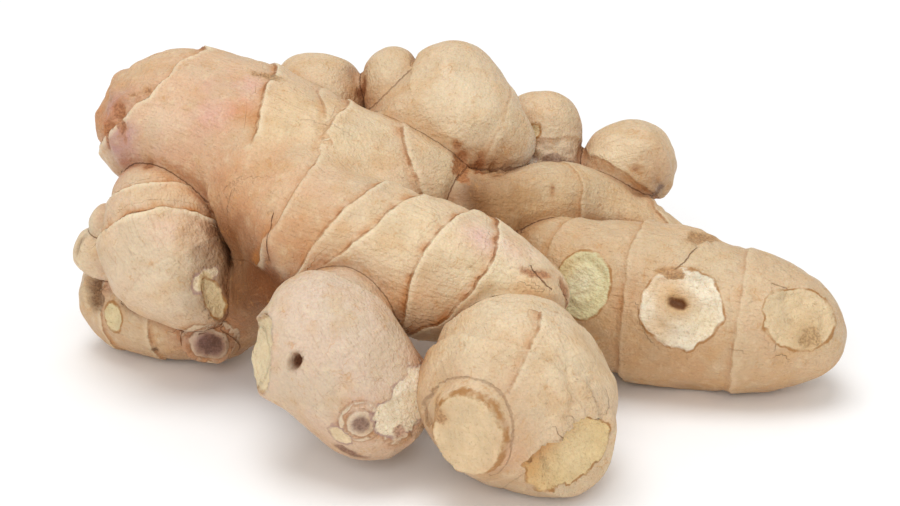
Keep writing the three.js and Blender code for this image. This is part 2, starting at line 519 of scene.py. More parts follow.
@dataclass(frozen=True)
class Ring:
    """The scar of a leaf sheath: a line where the finger meets a plane, with a small step.

    Attributes:
        fingers: The fingers that carry the ring.
        at: A point on the ring's plane.
        facing: The plane's normal, towards the finger's tip.
        step: How high the edge on the tip side stands, in millimetres.
        tint: How brown the line is, from 0 to 1.
        wobble: How far the line strays from the plane, in millimetres.
        reach: How far from `at` the ring runs, in millimetres.
    """

    fingers: tuple[str, ...]
    at: Point
    facing: Point
    step: float = 0.35
    tint: float = 0.5
    wobble: float = 0.8
    reach: float = 60.0

    # In millimetres: how fast the edge falls away past the line, where it starts and has its
    # full height, how far before the line the groove lies, which is also its width, the stretch
    # along the finger that is worked, and the lengths of the line's bends and ripples.
    fall = 3.0
    rise = (-0.6, 0.5)
    groove = 0.9
    stretch = (-10.0, 18.0)
    wander = (7.0, 2.2)
    # The groove's depth as a share of the step, the ripples' height as a share of the bends', how
    # much of the line is left where noise breaks it, and the size of such a break.
    groove_share = 0.35
    ripple_share = 0.35
    broken_share = 0.55
    break_mm = 5.0

    def signed(self, points: Array) -> Array:
        """Measures points against the ring's line, which strays from its plane by noise.

        Args:
            points: Positions in millimetres, one row each.

        Returns:
            The distance past the line, positive towards the tip.
        """
        seed = seed_at(self.at, Seed.RING_LIMIT)
        bend, ripple = self.wander
        stray = value_noise(points, bend, seed)
        stray = stray + self.ripple_share * value_noise(points, ripple, seed + 1)
        return (points - np.array(self.at)) @ unit(np.array(self.facing)) + self.wobble * stray

    def work(self, skin: Skin) -> None:
        """Raises the edge and draws the line.

        On the tip side the skin stands step * exp(-d / fall) high at d millimetres from the line,
        and just before the line there is a shallow groove. Noise breaks the line up.

        Args:
            skin: The skin that is worked.
        """
        flat = (skin.points - np.array(self.at)) @ unit(np.array(self.facing))
        share = skin.share(self.fingers)
        rows = skin.near(self.at, self.reach)
        start, stop = self.stretch
        rows = rows[(share[rows] > 0.0) & (flat[rows] > start) & (flat[rows] < stop)]
        points, weight = skin.points[rows], share[rows]
        d = self.signed(points)
        height = self.step * np.exp(-np.maximum(d, 0.0) / self.fall) * smoothstep(*self.rise, d)
        groove = self.groove_share * self.step * bump(d + self.groove, self.groove)
        skin.lift[rows] += weight * (height - groove)
        whole = smoothstep(-0.5, 0.3, rough_noise(points, self.break_mm, Seed.RING_BREAKS, 2))
        broken = self.broken_share + (1.0 - self.broken_share) * whole
        close = 1.0 - smoothstep(*LINE_FADE_MM, np.abs(d))
        skin.draw_line(Line.RING, rows, d, self.tint * weight * close * broken)


def spine_rings(name: str, shares: tuple[float, ...], step: float, tint: float) -> tuple[Ring, ...]:
    """Sets rings square across a finger.

    Args:
        name: The finger.
        shares: Where each ring sits, as a share of the spine.
        step: How high each ring's edge stands, in millimetres.
        tint: How brown its line is, from 0 to 1.

    Returns:
        One ring for each share.
    """
    centre, _, tangent, _, _ = FINGERS[FINGER_INDEX[name]].sections()
    rows = [round(share * (len(centre) - 1)) for share in shares]
    return tuple(Ring((name,), tuple(centre[i]), tuple(tangent[i]), step, tint) for i in rows)


TRUNK_BREAK = Ring(("trunk",), (-68.2, 23.1, 55.3), (0.68, -0.3, -0.67), 1.1, 0.9, 1.6)
TRUNK_RING = Ring(("trunk",), (-42.3, 8.5, 54.8), (0.95, -0.05, -0.3), 0.54, 0.8, 1.0)
NECK_RING = Ring(("trunk", "front_neck"), (-33, -5, 46.3), (0.86, -0.14, -0.49), 0.7, 0.6, 1.2)

RINGS = (
    TRUNK_BREAK,
    TRUNK_RING,
    NECK_RING,
    Ring(("trunk",), (-28.5, 20, 57), (0.97, 0.1, 0.1), 0.39, 0.35, 1.4),
    Ring(("trunk",), (-10, 16.7, 48.2), (0.92, 0.05, 0.4), 0.46, 0.6, 0.5),
    Ring(("front_neck",), (-23.1, -13.9, 44), (0.75, -0.48, -0.46), 0.62, 0.8, 0.7),
    Ring(("front_neck",), (-18, -18.5, 43.7), (0.6, -0.34, -0.72), 0.54, 0.7, 0.9),
    Ring(("front_neck",), (-4.2, -20.3, 40.3), (0.82, -0.52, -0.22), 0.62, 0.75, 0.6),
    Ring(("front_neck",), (4.9, -22.9, 36.8), (0.66, 0.15, -0.74), 0.46, 0.8, 1.2),
    Ring(("side_finger",), (-60.2, 8.3, 42.3), (0.05, -0.85, -0.5), 0.93, 1.0, 0.9),
    Ring(("side_finger",), (-59.1, 1.7, 39.2), (0.05, -0.85, -0.5), 0.93, 1.0, 0.9),
    Ring(("side_finger",), (-58.5, -4.5, 33.0), (0.5, -0.6, -0.6), 0.31, 0.1, 0.9),
    Ring(("front_right_finger",), (2.5, -33.5, 31.5), (-0.15, -0.8, -0.6), 0.93, 0.12, 0.8),
    Ring(("front_right_finger",), (2.9, -44.8, 32.6), (-0.45, -0.75, -0.5), 0.93, 0.06, 1.0),
    Ring(("front_right_finger",), (11.8, -53.4, 30.1), (0.87, -0.1, -0.49), 0.46, 0.5, 0.6, 14.0),
    Ring(("right_finger",), (36.8, -1, 27.5), (0.96, -0.27, -0.03), 0.78, 0.3, 0.8),
    Ring(("right_finger",), (58.9, -8.8, 18.8), (0.97, -0.23, -0.04), 0.54, 0.35, 0.7),
    Ring(("right_finger",), (19.8, 4.0, 29.0), (0.8, -0.6, 0.1), 0.46, 0.3, 0.8),
    Ring(("right_neck",), (26.0, 24.0, 38.0), (0.9, 0.4, -0.2), 0.39, 0.35, 0.8),
    Ring(("right_neck",), (43.3, 29.5, 29.8), (0.83, 0.53, 0.17), 0.46, 0.5, 0.6),
    *spine_rings("low_finger", (0.45, 0.62, 0.8), 0.46, 0.45),
    *spine_rings("back_hump", (0.3,), 0.62, 0.5),
    *spine_rings("back_finger", (0.8,), 0.39, 0.2),
    *spine_rings("back_bud", (0.8,), 0.39, 0.2),
    *spine_rings("back_right_knob", (0.4,), 0.46, 0.5),
    *spine_rings("rear_foot", (0.3, 0.55, 0.78), 0.62, 0.5),
    *spine_rings("front_left_finger", (0.12,), 0.46, 0.3),
    *spine_rings("left_knob_outer", (0.3,), 0.46, 0.6),
)


class ScarKind(Enum):
    """What a round mark is."""

    CUT = "a broken or cut face, nearly flat"
    PLATE = "a pale scar where a leaf or shoot stood, with a low rim"
    PEEL = "a patch where the papery skin has come off"
    CORK = "a brown corky patch"
    HOLE = "a small deep hole"
    BUD = "an old bud: a brown eye inside low rings"


LAYER_OF = {
    ScarKind.CUT: Layer.CUT,
    ScarKind.PLATE: Layer.CUT,
    ScarKind.PEEL: Layer.PEEL,
    ScarKind.CORK: Layer.CORK,
    ScarKind.HOLE: Layer.PIT,
    ScarKind.BUD: Layer.CORK,
}


@dataclass(frozen=True)
class Scar:
    """A round or oval mark.

    Attributes:
        kind: What the mark is.
        at: Its centre, in millimetres.
        facing: The way it faces.
        size: Its half width along the level and its half height, in millimetres.
        depth: How far its middle lies below the skin, in millimetres.
        turn: How far the oval is turned in its plane, in degrees.
        ragged: How far its border strays, in millimetres.
        colour: What shows inside it.
        flat: How far the skin inside is drawn onto the scar's plane, from 0 to 1.
    """

    kind: ScarKind
    at: Point
    facing: Point
    size: tuple[float, float]
    depth: float = 0.4
    turn: float = 0.0
    ragged: float = 0.3
    colour: str = "#e0c6a0"
    flat: float = 0.0

    # In millimetres: where across the border the inside is still full and where it has ended, for
    # its shape and for its colour, each kind's rim as its height, its distance outside the border
    # and its width, how rough the inside is, and the size of that roughness.
    edge = (-0.35, 0.35)
    soft_edge = (-0.4, 0.4)
    cut_rim = (0.3, 0.4, 0.7)
    plate_rim = (0.35, -0.2, 0.7)
    hole_rim = (0.25, 0.5, 0.5)
    cut_grain = 0.08
    plate_grain = 0.12
    cork_grain = 0.3
    grain_mm = 1.7
    # A plate's ripples: their height in millimetres, how many there are and where they start.
    ripple_mm = 0.22
    ripples = 2.5
    ripple_start = 0.3
    # Where a hole's and an eye's wall start and end, as shares of the radius.
    hole_wall = (0.35, 1.05)
    eye_wall = (0.5, 1.1)
    # Where a bud's rings stand, as shares of its eye's radius, and how high, in millimetres.
    bud_rings = ((1.35, 0.35), (1.85, -0.18), (2.3, 0.28), (2.8, -0.22))
    bud_ring_width = 0.24
    bud_ring_tint = 0.4
    bud_swell = 0.7
    bud_reach = 2.0
    # The lengths of the border's bends and ripples, in millimetres, and the ripples' share.
    wander = (2.4, 1.1)
    ripple_share = 0.6
    # How much of the colour shows in the skin, and where it fades out across the border.
    colouring = {Layer.CORK: (0.75, -0.5, 1.1), Layer.PIT: (0.7, -0.4, 0.5)}
    # Bared flesh: how far past the border it is coloured and how large its clouds are, in
    # millimetres, and how strong they are.
    flesh_margin = 0.9
    cloud_mm = 3.0
    flesh_cloud = 0.10
    # Points are worked within so many times the larger half size plus a margin, and so far off
    # the plane past the mean half size, in millimetres, where they face the scar's way.
    reach = (3.0, 4.0)
    slab = 2.0
    least_facing = 0.1

    def measure(self, points: Array) -> tuple[Array, Array]:
        """Measures points against the oval, whose border strays by noise.

        In the scar's plane a point at (u, v) lies at the share hypot(u / width, v / height).

        Args:
            points: Positions in millimetres, one row each.

        Returns:
            Each point's share of the oval's radius, and its height over the plane.
        """
        facing = unit(np.array(self.facing))
        across, over = plane_axes(facing)
        arm = points - np.array(self.at)
        level, steep = arm @ across, arm @ over
        angle = math.radians(self.turn)
        u = level * math.cos(angle) + steep * math.sin(angle)
        v = steep * math.cos(angle) - level * math.sin(angle)
        seed = seed_at(self.at, Seed.SCAR_LIMIT)
        bend, ripple = self.wander
        stray = value_noise(points, bend, seed)
        stray = stray + self.ripple_share * value_noise(points, ripple, seed + 3)
        radius = np.hypot(u / self.size[0], v / self.size[1])
        return radius + self.ragged * stray / min(self.size), arm @ facing

    def rim(self, border: Array, height: float, place: float, width: float) -> Array:
        """Raises height * exp(-((border - place) / width)^2) around the mark."""
        return height * bump(border - place, width)

    def height(self, radius: Array, border: Array, points: Array) -> Array:
        """Works out how far the mark lifts the skin.

        A cut face is a bowl, depth * (1 - radius^2) deep, inside a low rim. A plate lies depth
        below its rim under ripples, sin(5 pi radius). Peeled and corky patches lie depth lower,
        the corky ones with a grain. A hole falls to depth at its middle. A bud is an eye that
        deep on a broad swelling, inside low rings.

        Args:
            radius: Each point's share of the oval's radius.
            border: Its distance outside the border, in millimetres.
            points: Its position in millimetres.

        Returns:
            The lift in millimetres, one for each point.
        """
        fine = value_noise(points, self.grain_mm, Seed.SCAR_GRAIN)
        inside = 1.0 - smoothstep(*self.edge, border)
        if self.kind is ScarKind.CUT:
            bowl = self.depth * (1 - radius**2).clip(0)
            return self.rim(border, *self.cut_rim) - inside * (bowl - self.cut_grain * fine)
        if self.kind is ScarKind.PLATE:
            wave = np.sin(2 * math.pi * radius * self.ripples)
            ripples = self.ripple_mm * wave * (radius > self.ripple_start)
            floor = ripples - self.depth + self.plate_grain * fine
            return self.rim(border, *self.plate_rim) + inside * floor
        if self.kind is ScarKind.PEEL:
            return -self.depth * inside
        if self.kind is ScarKind.CORK:
            return inside * (self.cork_grain * fine - self.depth)
        if self.kind is ScarKind.HOLE:
            shaft = self.depth * (1 - smoothstep(*self.hole_wall, radius))
            return self.rim(border, *self.hole_rim) - shaft
        eye = -self.depth * (1 - smoothstep(*self.eye_wall, radius))
        rings = sum(height * bump(radius - place, self.bud_ring_width)
                    for place, height in self.bud_rings)
        return eye + self.bud_swell * bump(radius, self.bud_reach) + rings

    def work(self, skin: Skin) -> None:
        """Shapes the mark, records its border and colours what it bares.

        Args:
            skin: The skin that is worked.
        """
        facing = unit(np.array(self.facing))
        mean = math.sqrt(self.size[0] * self.size[1])
        times, more = self.reach
        rows = skin.near(self.at, times * max(self.size) + more)
        off_plane = np.abs((skin.points[rows] - np.array(self.at)) @ facing)
        turned = skin.normals[rows] @ facing
        rows = rows[(off_plane < mean + self.slab) & (turned > self.least_facing)]
        points = skin.points[rows]
        radius, height = self.measure(points)
        border = (radius - 1.0) * mean
        inside = 1.0 - smoothstep(*self.soft_edge, border)
        if self.flat > 0.0:
            skin.lift[rows] *= 1.0 - inside * self.flat
            skin.shift[rows] -= (self.flat * inside * height)[:, None] * facing
        skin.lift[rows] += self.height(radius, border, points)
        layer = LAYER_OF[self.kind]
        skin.borders[layer][rows] = np.minimum(skin.borders[layer][rows], border)
        if layer in self.colouring:
            share, low, high = self.colouring[layer]
            around = share * (1.0 - smoothstep(low, high, border))
            skin.blend(skin.tone, rows, linear(self.colour), around)
        else:
            bared = border < self.flesh_margin
            clouds = rough_noise(points[bared], self.cloud_mm, Seed.FLESH_CLOUD)
            light = 1.0 + self.flesh_cloud * clouds[:, None]
            skin.flesh[rows[bared]] = linear(self.colour) * light
            for line in Line:
                skin.tints[line][rows] *= 1.0 - inside
        if self.kind is ScarKind.BUD:
            tint = np.full(len(rows), self.bud_ring_tint)
            for place, height in self.bud_rings:
                if height < 0.0:
                    skin.draw_line(Line.RING, rows, (place - radius) * mean, tint)


# The kinds by their own names, for the table.
CUT, PLATE, PEEL, CORK, HOLE, BUD = ScarKind

SCARS = tuple(Scar(*row) for row in (
    # front right finger: two broken faces
    (CUT, (2.2, -58.6, 19.0), (-0.5, -0.85, 0.05), (7.6, 8.3), 0.5, 0, 0.25, "#dcc19a", 1.0),
    (CORK, (-3.4, -55.4, 22.0), (-0.6, -0.75, 0.25), (1.3, 2.6), 0.2, 20, 0.6, "#c29059"),
    (CUT, (21.9, -53.4, 12.7), (0.45, -0.88, 0.1), (9.8, 6.4), 1.3, 15, 0.75, "#e6c992", 0.9),
    # front left finger: flat side, eye, peeled patch
    (CUT, (-37.2, -35.2, 25.0), (-0.77, -0.56, 0.3), (5.6, 7.6), 0.3, 0, 0.3, "#e0cca6", 0.95),
    (PEEL, (-10.0, -41.5, 19.0), (0.45, -0.85, 0.3), (6.6, 4.6), 0.3, 40, 1.0, "#f6ead2"),
    (PEEL, (-12.0, -44.5, 16.4), (0.2, -0.9, 0.2), (5.0, 4.0), 0.3, 10, 0.9, "#efdfc2"),
    (PEEL, (-22.6, -44.9, 13.0), (0.0, -0.95, -0.1), (2.0, 3.4), 0.2, 25, 0.6, "#e6cfaa"),
    (HOLE, (-31.0, -44.1, 27.5), (-0.45, -0.8, 0.35), (1.3, 2.0), 3.2, -15, 0.15, "#7a4a2a"),
    (BUD, (-18.6, -46.7, 16.6), (0.15, -0.98, -0.05), (1.6, 1.6), 0.6, 0, 0.12, "#7c5546"),
    (BUD, (-11.4, -45.8, 13.9), (0.3, -0.9, -0.2), (1.1, 1.4), 0.4, 0, 0.2, "#c69a7c"),
    (CORK, (-20.6, -43.4, 8.6), (0.0, -0.8, -0.6), (3.0, 1.3), 0.1, -18, 0.7, "#8c6049"),
    (CORK, (-8.3, -39.4, 19.6), (0.5, -0.8, 0.2), (1.6, 1.5), 0.1, 0, 0.9, "#a98a6c"),
    # side finger
    (CORK, (-65.1, 13.9, 45.0), (-0.2, -0.6, 0.75), (0.9, 1.2), 0.25, 0, 0.35, "#a8683a"),
    (PEEL, (-52.6, -4.5, 27.0), (0.35, -0.85, 0.35), (3.2, 1.7), 0.2, 25, 0.6, "#e8d5b4"),
    (CUT, (-51.2, -4.2, 22.6), (0.5, -0.8, 0.3), (2.2, 4.8), 0.4, 18, 0.35, "#dfc79a", 0.6),
    (CORK, (-69.4, 5.2, 16.9), (-0.3, -0.9, 0.2), (1.9, 1.4), 0.5, -20, 0.3, "#8c6446"),
    # low finger and its buds
    (CORK, (-78.2, 11.4, 17.2), (-0.65, -0.70, 0.3), (2.6, 4.0), 1.6, 12, 0.6, "#86592f"),
    (PLATE, (-73.8, 7.1, 12.8), (-0.47, -0.88, 0.03), (2.6, 3.4), 0.2, 0, 0.25, "#dcc99c"),
    (BUD, (-52.2, -3.6, 10.5), (-0.05, -1.0, 0.05), (2.5, 2.4), 0.4, 0, 0.5, "#6b4a40"),
    (CORK, (-64.8, 4.9, 6.0), (-0.2, -0.9, -0.3), (0.6, 0.8), 0.2, 0, 0.3, "#6b4a2e"),
    (CORK, (-79.6, 10.6, 28.6), (-0.8, -0.5, 0.4), (0.5, 1.4), 0.4, 0, 0.5, "#7a5a3c"),
    # right finger: two shoot scars and the worn tip
    (PLATE, (26.9, -3.2, 25.2), (-0.41, -0.8, 0.43), (6.3, 7.2), 0.15, 0, 0.18, "#ddd4a6", 0.3),
    (PLATE, (47.2, -10, 23.1), (-0.1, -0.91, 0.41), (8.6, 8.6), 0.35, 0, 0.5, "#f2e6cd", 0.45),
    (HOLE, (46.6, -9.6, 23.9), (-0.1, -0.91, 0.41), (2.4, 1.6), 1.5, -12, 0.45, "#b07f3c"),
    (CORK, (45.3, -6.6, 30.6), (0.0, -0.7, 0.7), (2.6, 0.9), 0.15, 0, 0.7, "#c08a4c"),
    (CORK, (51.9, 4.5, 32.6), (0.1, -0.3, 0.95), (3.2, 2.6), 0.3, 0, 0.9, "#b98a55"),
    (PLATE, (71.5, -10.2, 20.4), (0.3, -0.8, 0.5), (8.2, 6.6), 0.3, -25, 0.6, "#e2c9a2", 0.15),
    (CORK, (74.2, -11.6, 16.6), (0.3, -0.9, 0.2), (2.6, 2.4), 0.25, 0, 0.8, "#cfa974"),
    # torn skin at the neck's end and in the hollow behind it
    (CORK, (16.6, -22.0, 36.2), (0.4, -0.6, 0.7), (2.4, 0.9), 0.25, -30, 0.7, "#b5713f"),
    (CORK, (21.8, -20.0, 31.2), (0.85, -0.5, 0.2), (1.0, 3.6), 0.3, 12, 0.5, "#ab6b3e"),
    (CORK, (1.6, 18.6, 43.0), (-0.1, -0.9, 0.3), (2.0, 4.4), 0.3, 8, 1.1, "#b8743f"),
    (CORK, (4.6, 21.0, 41.6), (0.2, -0.9, 0.1), (1.0, 3.2), 0.3, -12, 0.9, "#a9683a"),
    (CORK, (8.4, 22.0, 40.6), (0.3, -0.8, 0.0), (0.9, 2.4), 0.3, 25, 0.9, "#b07a49"),
    (CORK, (-70.6, 22.6, 53.6), (-0.54, -0.62, 0.56), (0.8, 3.8), 0.3, 40, 0.8, "#bb7a45"),
    (CORK, (-73.6, 20.8, 48.5), (-0.7, -0.66, 0.2), (0.7, 3.4), 0.3, 5, 0.8, "#b4723f"),
    (CORK, (-67.0, 23.2, 57.0), (-0.45, -0.52, 0.72), (2.8, 0.7), 0.3, 35, 0.6, "#c08a55"),
    (CORK, (-39.8, 22.3, 62.5), (0.0, -0.2, 1.0), (2.6, 1.3), 0.2, 0, 0.7, "#b98f5c"),
    (CORK, (-20.4, 37.4, 54.0), (-0.5, -0.8, 0.2), (1.1, 2.2), 0.3, 0, 0.8, "#9a5f35"),
    (CORK, (20.5, 17.3, 36.9), (0.1, -0.6, 0.8), (0.7, 1.8), 0.15, 0, 0.5, "#b98353"),
    (PLATE, (17.9, 39.3, 43.3), (-0.18, -0.93, 0.31), (1.5, 1.7), 0.3, 0, 0.3, "#dcc193"),
    (PEEL, (14.7, 38.4, 37.6), (0.3, -0.9, 0.2), (2.2, 3.0), 0.2, 20, 0.8, "#e9dcc8"),
    (CORK, (22.5, 36.6, 36.2), (0.3, -0.8, 0.5), (3.2, 1.5), 0.3, -25, 0.9, "#9c7c66"),
    (CORK, (39.9, 32.3, 37.3), (-0.1, -0.8, 0.5), (0.5, 0.5), 0.1, 0, 0.4, "#b97c4f"),
    (CORK, (46.2, 32.5, 31.0), (0.6, -0.7, 0.1), (2.0, 2.0), 0.3, 0, 0.9, "#866a58"),
    # out of sight behind and below
    (CUT, (-26.0, 58.5, 14.0), (0.05, 0.98, -0.1), (6.5, 5.5), 0.5, 0, 0.4, "#dcc19a", 0.7),
    (PLATE, (-52.0, 45.0, 42.0), (-0.1, 0.97, -0.1), (5.5, 6.0), 0.3, 0, 0.4, "#e2cfa8", 0.2),
    (BUD, (-47.0, 44.0, 28.0), (0.1, 0.9, -0.4), (1.6, 1.6), 0.6, 0, 0.2, "#94694c"),
    (CORK, (38.0, 24.6, 14.0), (0.1, 0.97, 0.1), (3.5, 2.4), 0.25, 0, 0.9, "#b98a55"),
    (BUD, (58.0, 17.0, 18.0), (0.1, 0.98, 0.1), (1.8, 1.8), 0.6, 0, 0.2, "#8b6350"),
    (HOLE, (3.0, 46.0, 44.0), (0.1, 0.98, 0.1), (1.1, 1.4), 2.0, 0, 0.2, "#7a4a2a"),
))


@dataclass(frozen=True)
class Crack:
    """A split in the skin along a chain of points: half its width and its depth in millimetres,
    and how dark it is from 0 to 1."""

    path: tuple[Point, ...]
    width: float = 0.5
    depth: float = 0.25
    tint: float = 0.8

    # How many samples of the curve each point of the chain gets. In millimetres: how far around
    # the chain points are looked at, where the line fades, and the line's bends and ripples, each
    # as its height and length.
    samples = 5
    margin = 4.0
    fade = (1.2, 2.2)
    bend = (0.35, 4.0)
    ripple = (0.12, 1.6)

    def work(self, skin: Skin) -> None:
        """Cuts the groove and draws the line.

        For each stretch of the chain the distance is signed by the side that a point lies on,
        which is the sign of (stretch x arm) . normal, so the line stays thin between vertices.
        Noise makes it stray, and the groove is depth * exp(-(distance / width)^2) deep.

        Args:
            skin: The skin that is worked.
        """
        chain = catmull_rom(np.array(self.path, dtype=float), self.samples * len(self.path))
        low, high = chain.min(0) - self.margin, chain.max(0) + self.margin
        rows = np.flatnonzero(((skin.points > low) & (skin.points < high)).all(1))
        if not len(rows):
            return
        local, normals = skin.points[rows], skin.normals[rows]
        step = np.diff(chain, axis=0)
        offset = local[:, None] - chain[None, :-1]
        raw = (offset * step).sum(2) / (step**2).sum(1)
        t = np.clip(raw, 0.0, 1.0)
        arm = offset - t[..., None] * step
        length = np.linalg.norm(arm, axis=2)
        pick = length.argmin(1)
        row = np.arange(len(rows))
        distance, place = length[row, pick], raw[row, pick]
        side = np.sign((np.cross(step[pick], arm[row, pick]) * normals).sum(1))
        beyond = ((pick == 0) & (place < 0)) | ((pick == len(step) - 1) & (place > 1))
        within = np.where(beyond, 0.0, 1.0)
        stray = self.bend[0] * value_noise(local, self.bend[1], Seed.CRACK_STRAY)
        stray = stray + self.ripple[0] * value_noise(local, self.ripple[1], Seed.CRACK_RIPPLE)
        signed = side * distance + stray
        show = self.tint * (1.0 - smoothstep(*self.fade, distance)) * within
        skin.lift[rows] -= self.depth * bump(signed, self.width) * within
        skin.draw_line(Line.CRACK, rows, signed, show)


def faint_creases(count: int = 6) -> tuple[Crack, ...]:
    """Sets faint creases side by side down the trunk's wrinkled foot.

    Args:
        count: How many to set.

    Returns:
        The creases, each carried on from the last by the same three steps.
    """
    first = np.array(((-50.5, -0.5, 43.5), (-47.5, -0.5, 46.5), (-44.0, -1.0, 49.0)))
    steps = np.array(((1.6, -1.3, 1.5), (1.8, -1.3, 1.2), (1.8, -1.2, 0.8)))
    chains = (first + i * steps for i in range(count))
    return tuple(Crack(tuple(map(tuple, chain)), 0.5, 0.25, 0.3) for chain in chains)


CRACKS = (
    *faint_creases(),
    # from the trunk's underside down between it and the neck
    Crack(((-37, -12.7, 46.3), (-37.8, -15.1, 41.2), (-38, -15.3, 38.6), (-37.5, -15.5, 36)),
          0.7, 0.6, 1.0),
    Crack(((-45.5, -1.0, 50.0), (-46.8, -3.0, 45.5), (-47.8, -4.0, 41.5)), 0.6, 0.4, 0.7),
    Crack(((-33.0, 9.5, 57.0), (-28.0, 9.5, 55.5), (-22.0, 9.0, 52.5)), 0.4, 0.15, 0.45),
    Crack(((-20.0, 12.0, 51.0), (-16.0, 12.5, 50.2), (-12.0, 13.0, 49.0)), 0.4, 0.15, 0.4),
    # branch between two rings of the neck
    Crack(((-10.5, -19.5, 42.0), (-7.5, -20.3, 41.3), (-4.8, -20.6, 40.6)), 0.4, 0.2, 0.7),
    # torn end of the neck
    Crack(((14.8, -20.8, 37.6), (17.9, -23.6, 35.0), (19.3, -23.9, 33.6)), 0.6, 0.4, 0.9),
    Crack(((20.8, -21.5, 33.6), (22.3, -19.9, 30.5), (22.9, -18.7, 28.5)), 0.7, 0.5, 1.0),
    Crack(((12.5, -24.0, 35.2), (15.5, -24.6, 33.6), (17.5, -24.4, 32.8)), 0.5, 0.2, 0.6),
    # right finger
    Crack(((51.0, 1.5, 32.3), (48.5, -2.5, 31.0), (46.2, -4.6, 29.9), (44.0, -6.2, 29.2)),
          0.5, 0.3, 0.8),
    Crack(((65.4, -12.3, 20.2), (66.6, -13.1, 16.0), (66.4, -13.2, 14.2)), 0.5, 0.25, 0.6),
    Crack(((66.4, -13.1, 13.9), (68.2, -12.8, 13.8), (70.0, -12.3, 12.6)), 0.5, 0.2, 0.6),
    Crack(((57.0, -12.4, 15.6), (59.5, -12.5, 15.0), (61.5, -12.2, 14.6)), 0.4, 0.1, 0.5),
    Crack(((37.5, -9.5, 24.0), (38.8, -10.8, 19.0), (42.0, -12.3, 13.5)), 0.6, 0.4, 0.7),
    Crack(((66.0, -6.6, 27.2), (70.5, -7.2, 26.0), (75.0, -8.2, 22.0), (77.2, -8.8, 18.0)),
          0.7, 0.35, 0.55),
    # left cluster
    Crack(((-78.2, 11.5, 31.4), (-77.0, 10.6, 29.2), (-76.4, 10.0, 26.6)), 0.6, 0.5, 0.95),
    Crack(((-72.4, 7.0, 20.4), (-72.0, 7.4, 18.6), (-71.4, 7.2, 15.6)), 0.5, 0.4, 0.9),
    Crack(((-77.0, 8.0, 8.5), (-74.6, 6.6, 8.9), (-72.0, 5.8, 9.6)), 0.4, 0.2, 0.6),
    Crack(((-66.0, 4.8, 2.8), (-63.6, 3.6, 3.9), (-60.6, 2.6, 5.8)), 0.4, 0.2, 0.6),
    # front fingers
    Crack(((-17.5, -38.6, 24.2), (-14.0, -39.0, 23.0), (-11.5, -38.4, 22.4)), 0.5, 0.2, 0.5),
    Crack(((18.5, -57.2, 21.0), (19.6, -57.9, 19.2), (21.0, -57.6, 17.8)), 0.6, 0.5, 0.6),
    Crack(((22.5, -56.6, 22.6), (23.4, -56.6, 20.6), (24.2, -55.8, 18.8)), 0.6, 0.5, 0.6),
    Crack(((25.8, -53.6, 26.4), (27.0, -53.4, 24.6), (27.6, -52.4, 22.4)), 0.5, 0.4, 0.7),
    Crack(((28.5, -48.5, 24.0), (29.3, -49.2, 21.5), (29.0, -49.6, 19.0)), 0.5, 0.3, 0.5),
    # behind
    Crack(((-38.0, 43.0, 30.0), (-41.0, 45.5, 36.0), (-40.0, 45.0, 42.0)), 0.6, 0.4, 0.7),
    Crack(((30.0, 22.0, 20.0), (36.0, 23.5, 17.0), (44.0, 22.5, 16.0)), 0.5, 0.3, 0.6),
)


@dataclass(frozen=True)
class Crumple:
    """A patch of dried skin that has drawn into folds or corky lumps.

    Attributes:
        at: Its centre, in millimetres.
        radius: How far it reaches, in millimetres.
        fold: The distance between folds, in millimetres.
        height: How high the folds stand, in millimetres.
        before: A ring that it stops at, if any: it lies on the side away from the tip.
    """

    at: Point
    radius: float
    fold: float
    height: float
    before: Ring | None = None

    # How many radii out it is worked, where the folds stop across the ring in millimetres, and
    # the valleys' depth as a share of the height.
    spread = 2.0
    stop = (-0.6, 0.2)
    valley = 0.6

    def work(self, skin: Skin) -> None:
        """Raises round folds with sharp valleys: height * (2 |noise| - valley), fading outwards.

        Args:
            skin: The skin that is worked.
        """
        rows = skin.near(self.at, self.spread * self.radius)
        points = skin.points[rows]
        weight = bump(np.linalg.norm(points - np.array(self.at), axis=1), self.radius)
        if self.before is not None:
            weight = weight * (1.0 - smoothstep(*self.stop, self.before.signed(points)))
        folds = 2.0 * np.abs(value_noise(points, self.fold, Seed.FOLDS))
        fine = 0.5 * value_noise(points, self.fold / 2, Seed.FINE_FOLDS)
        skin.lift[rows] += self.height * weight * (folds + fine - self.valley)


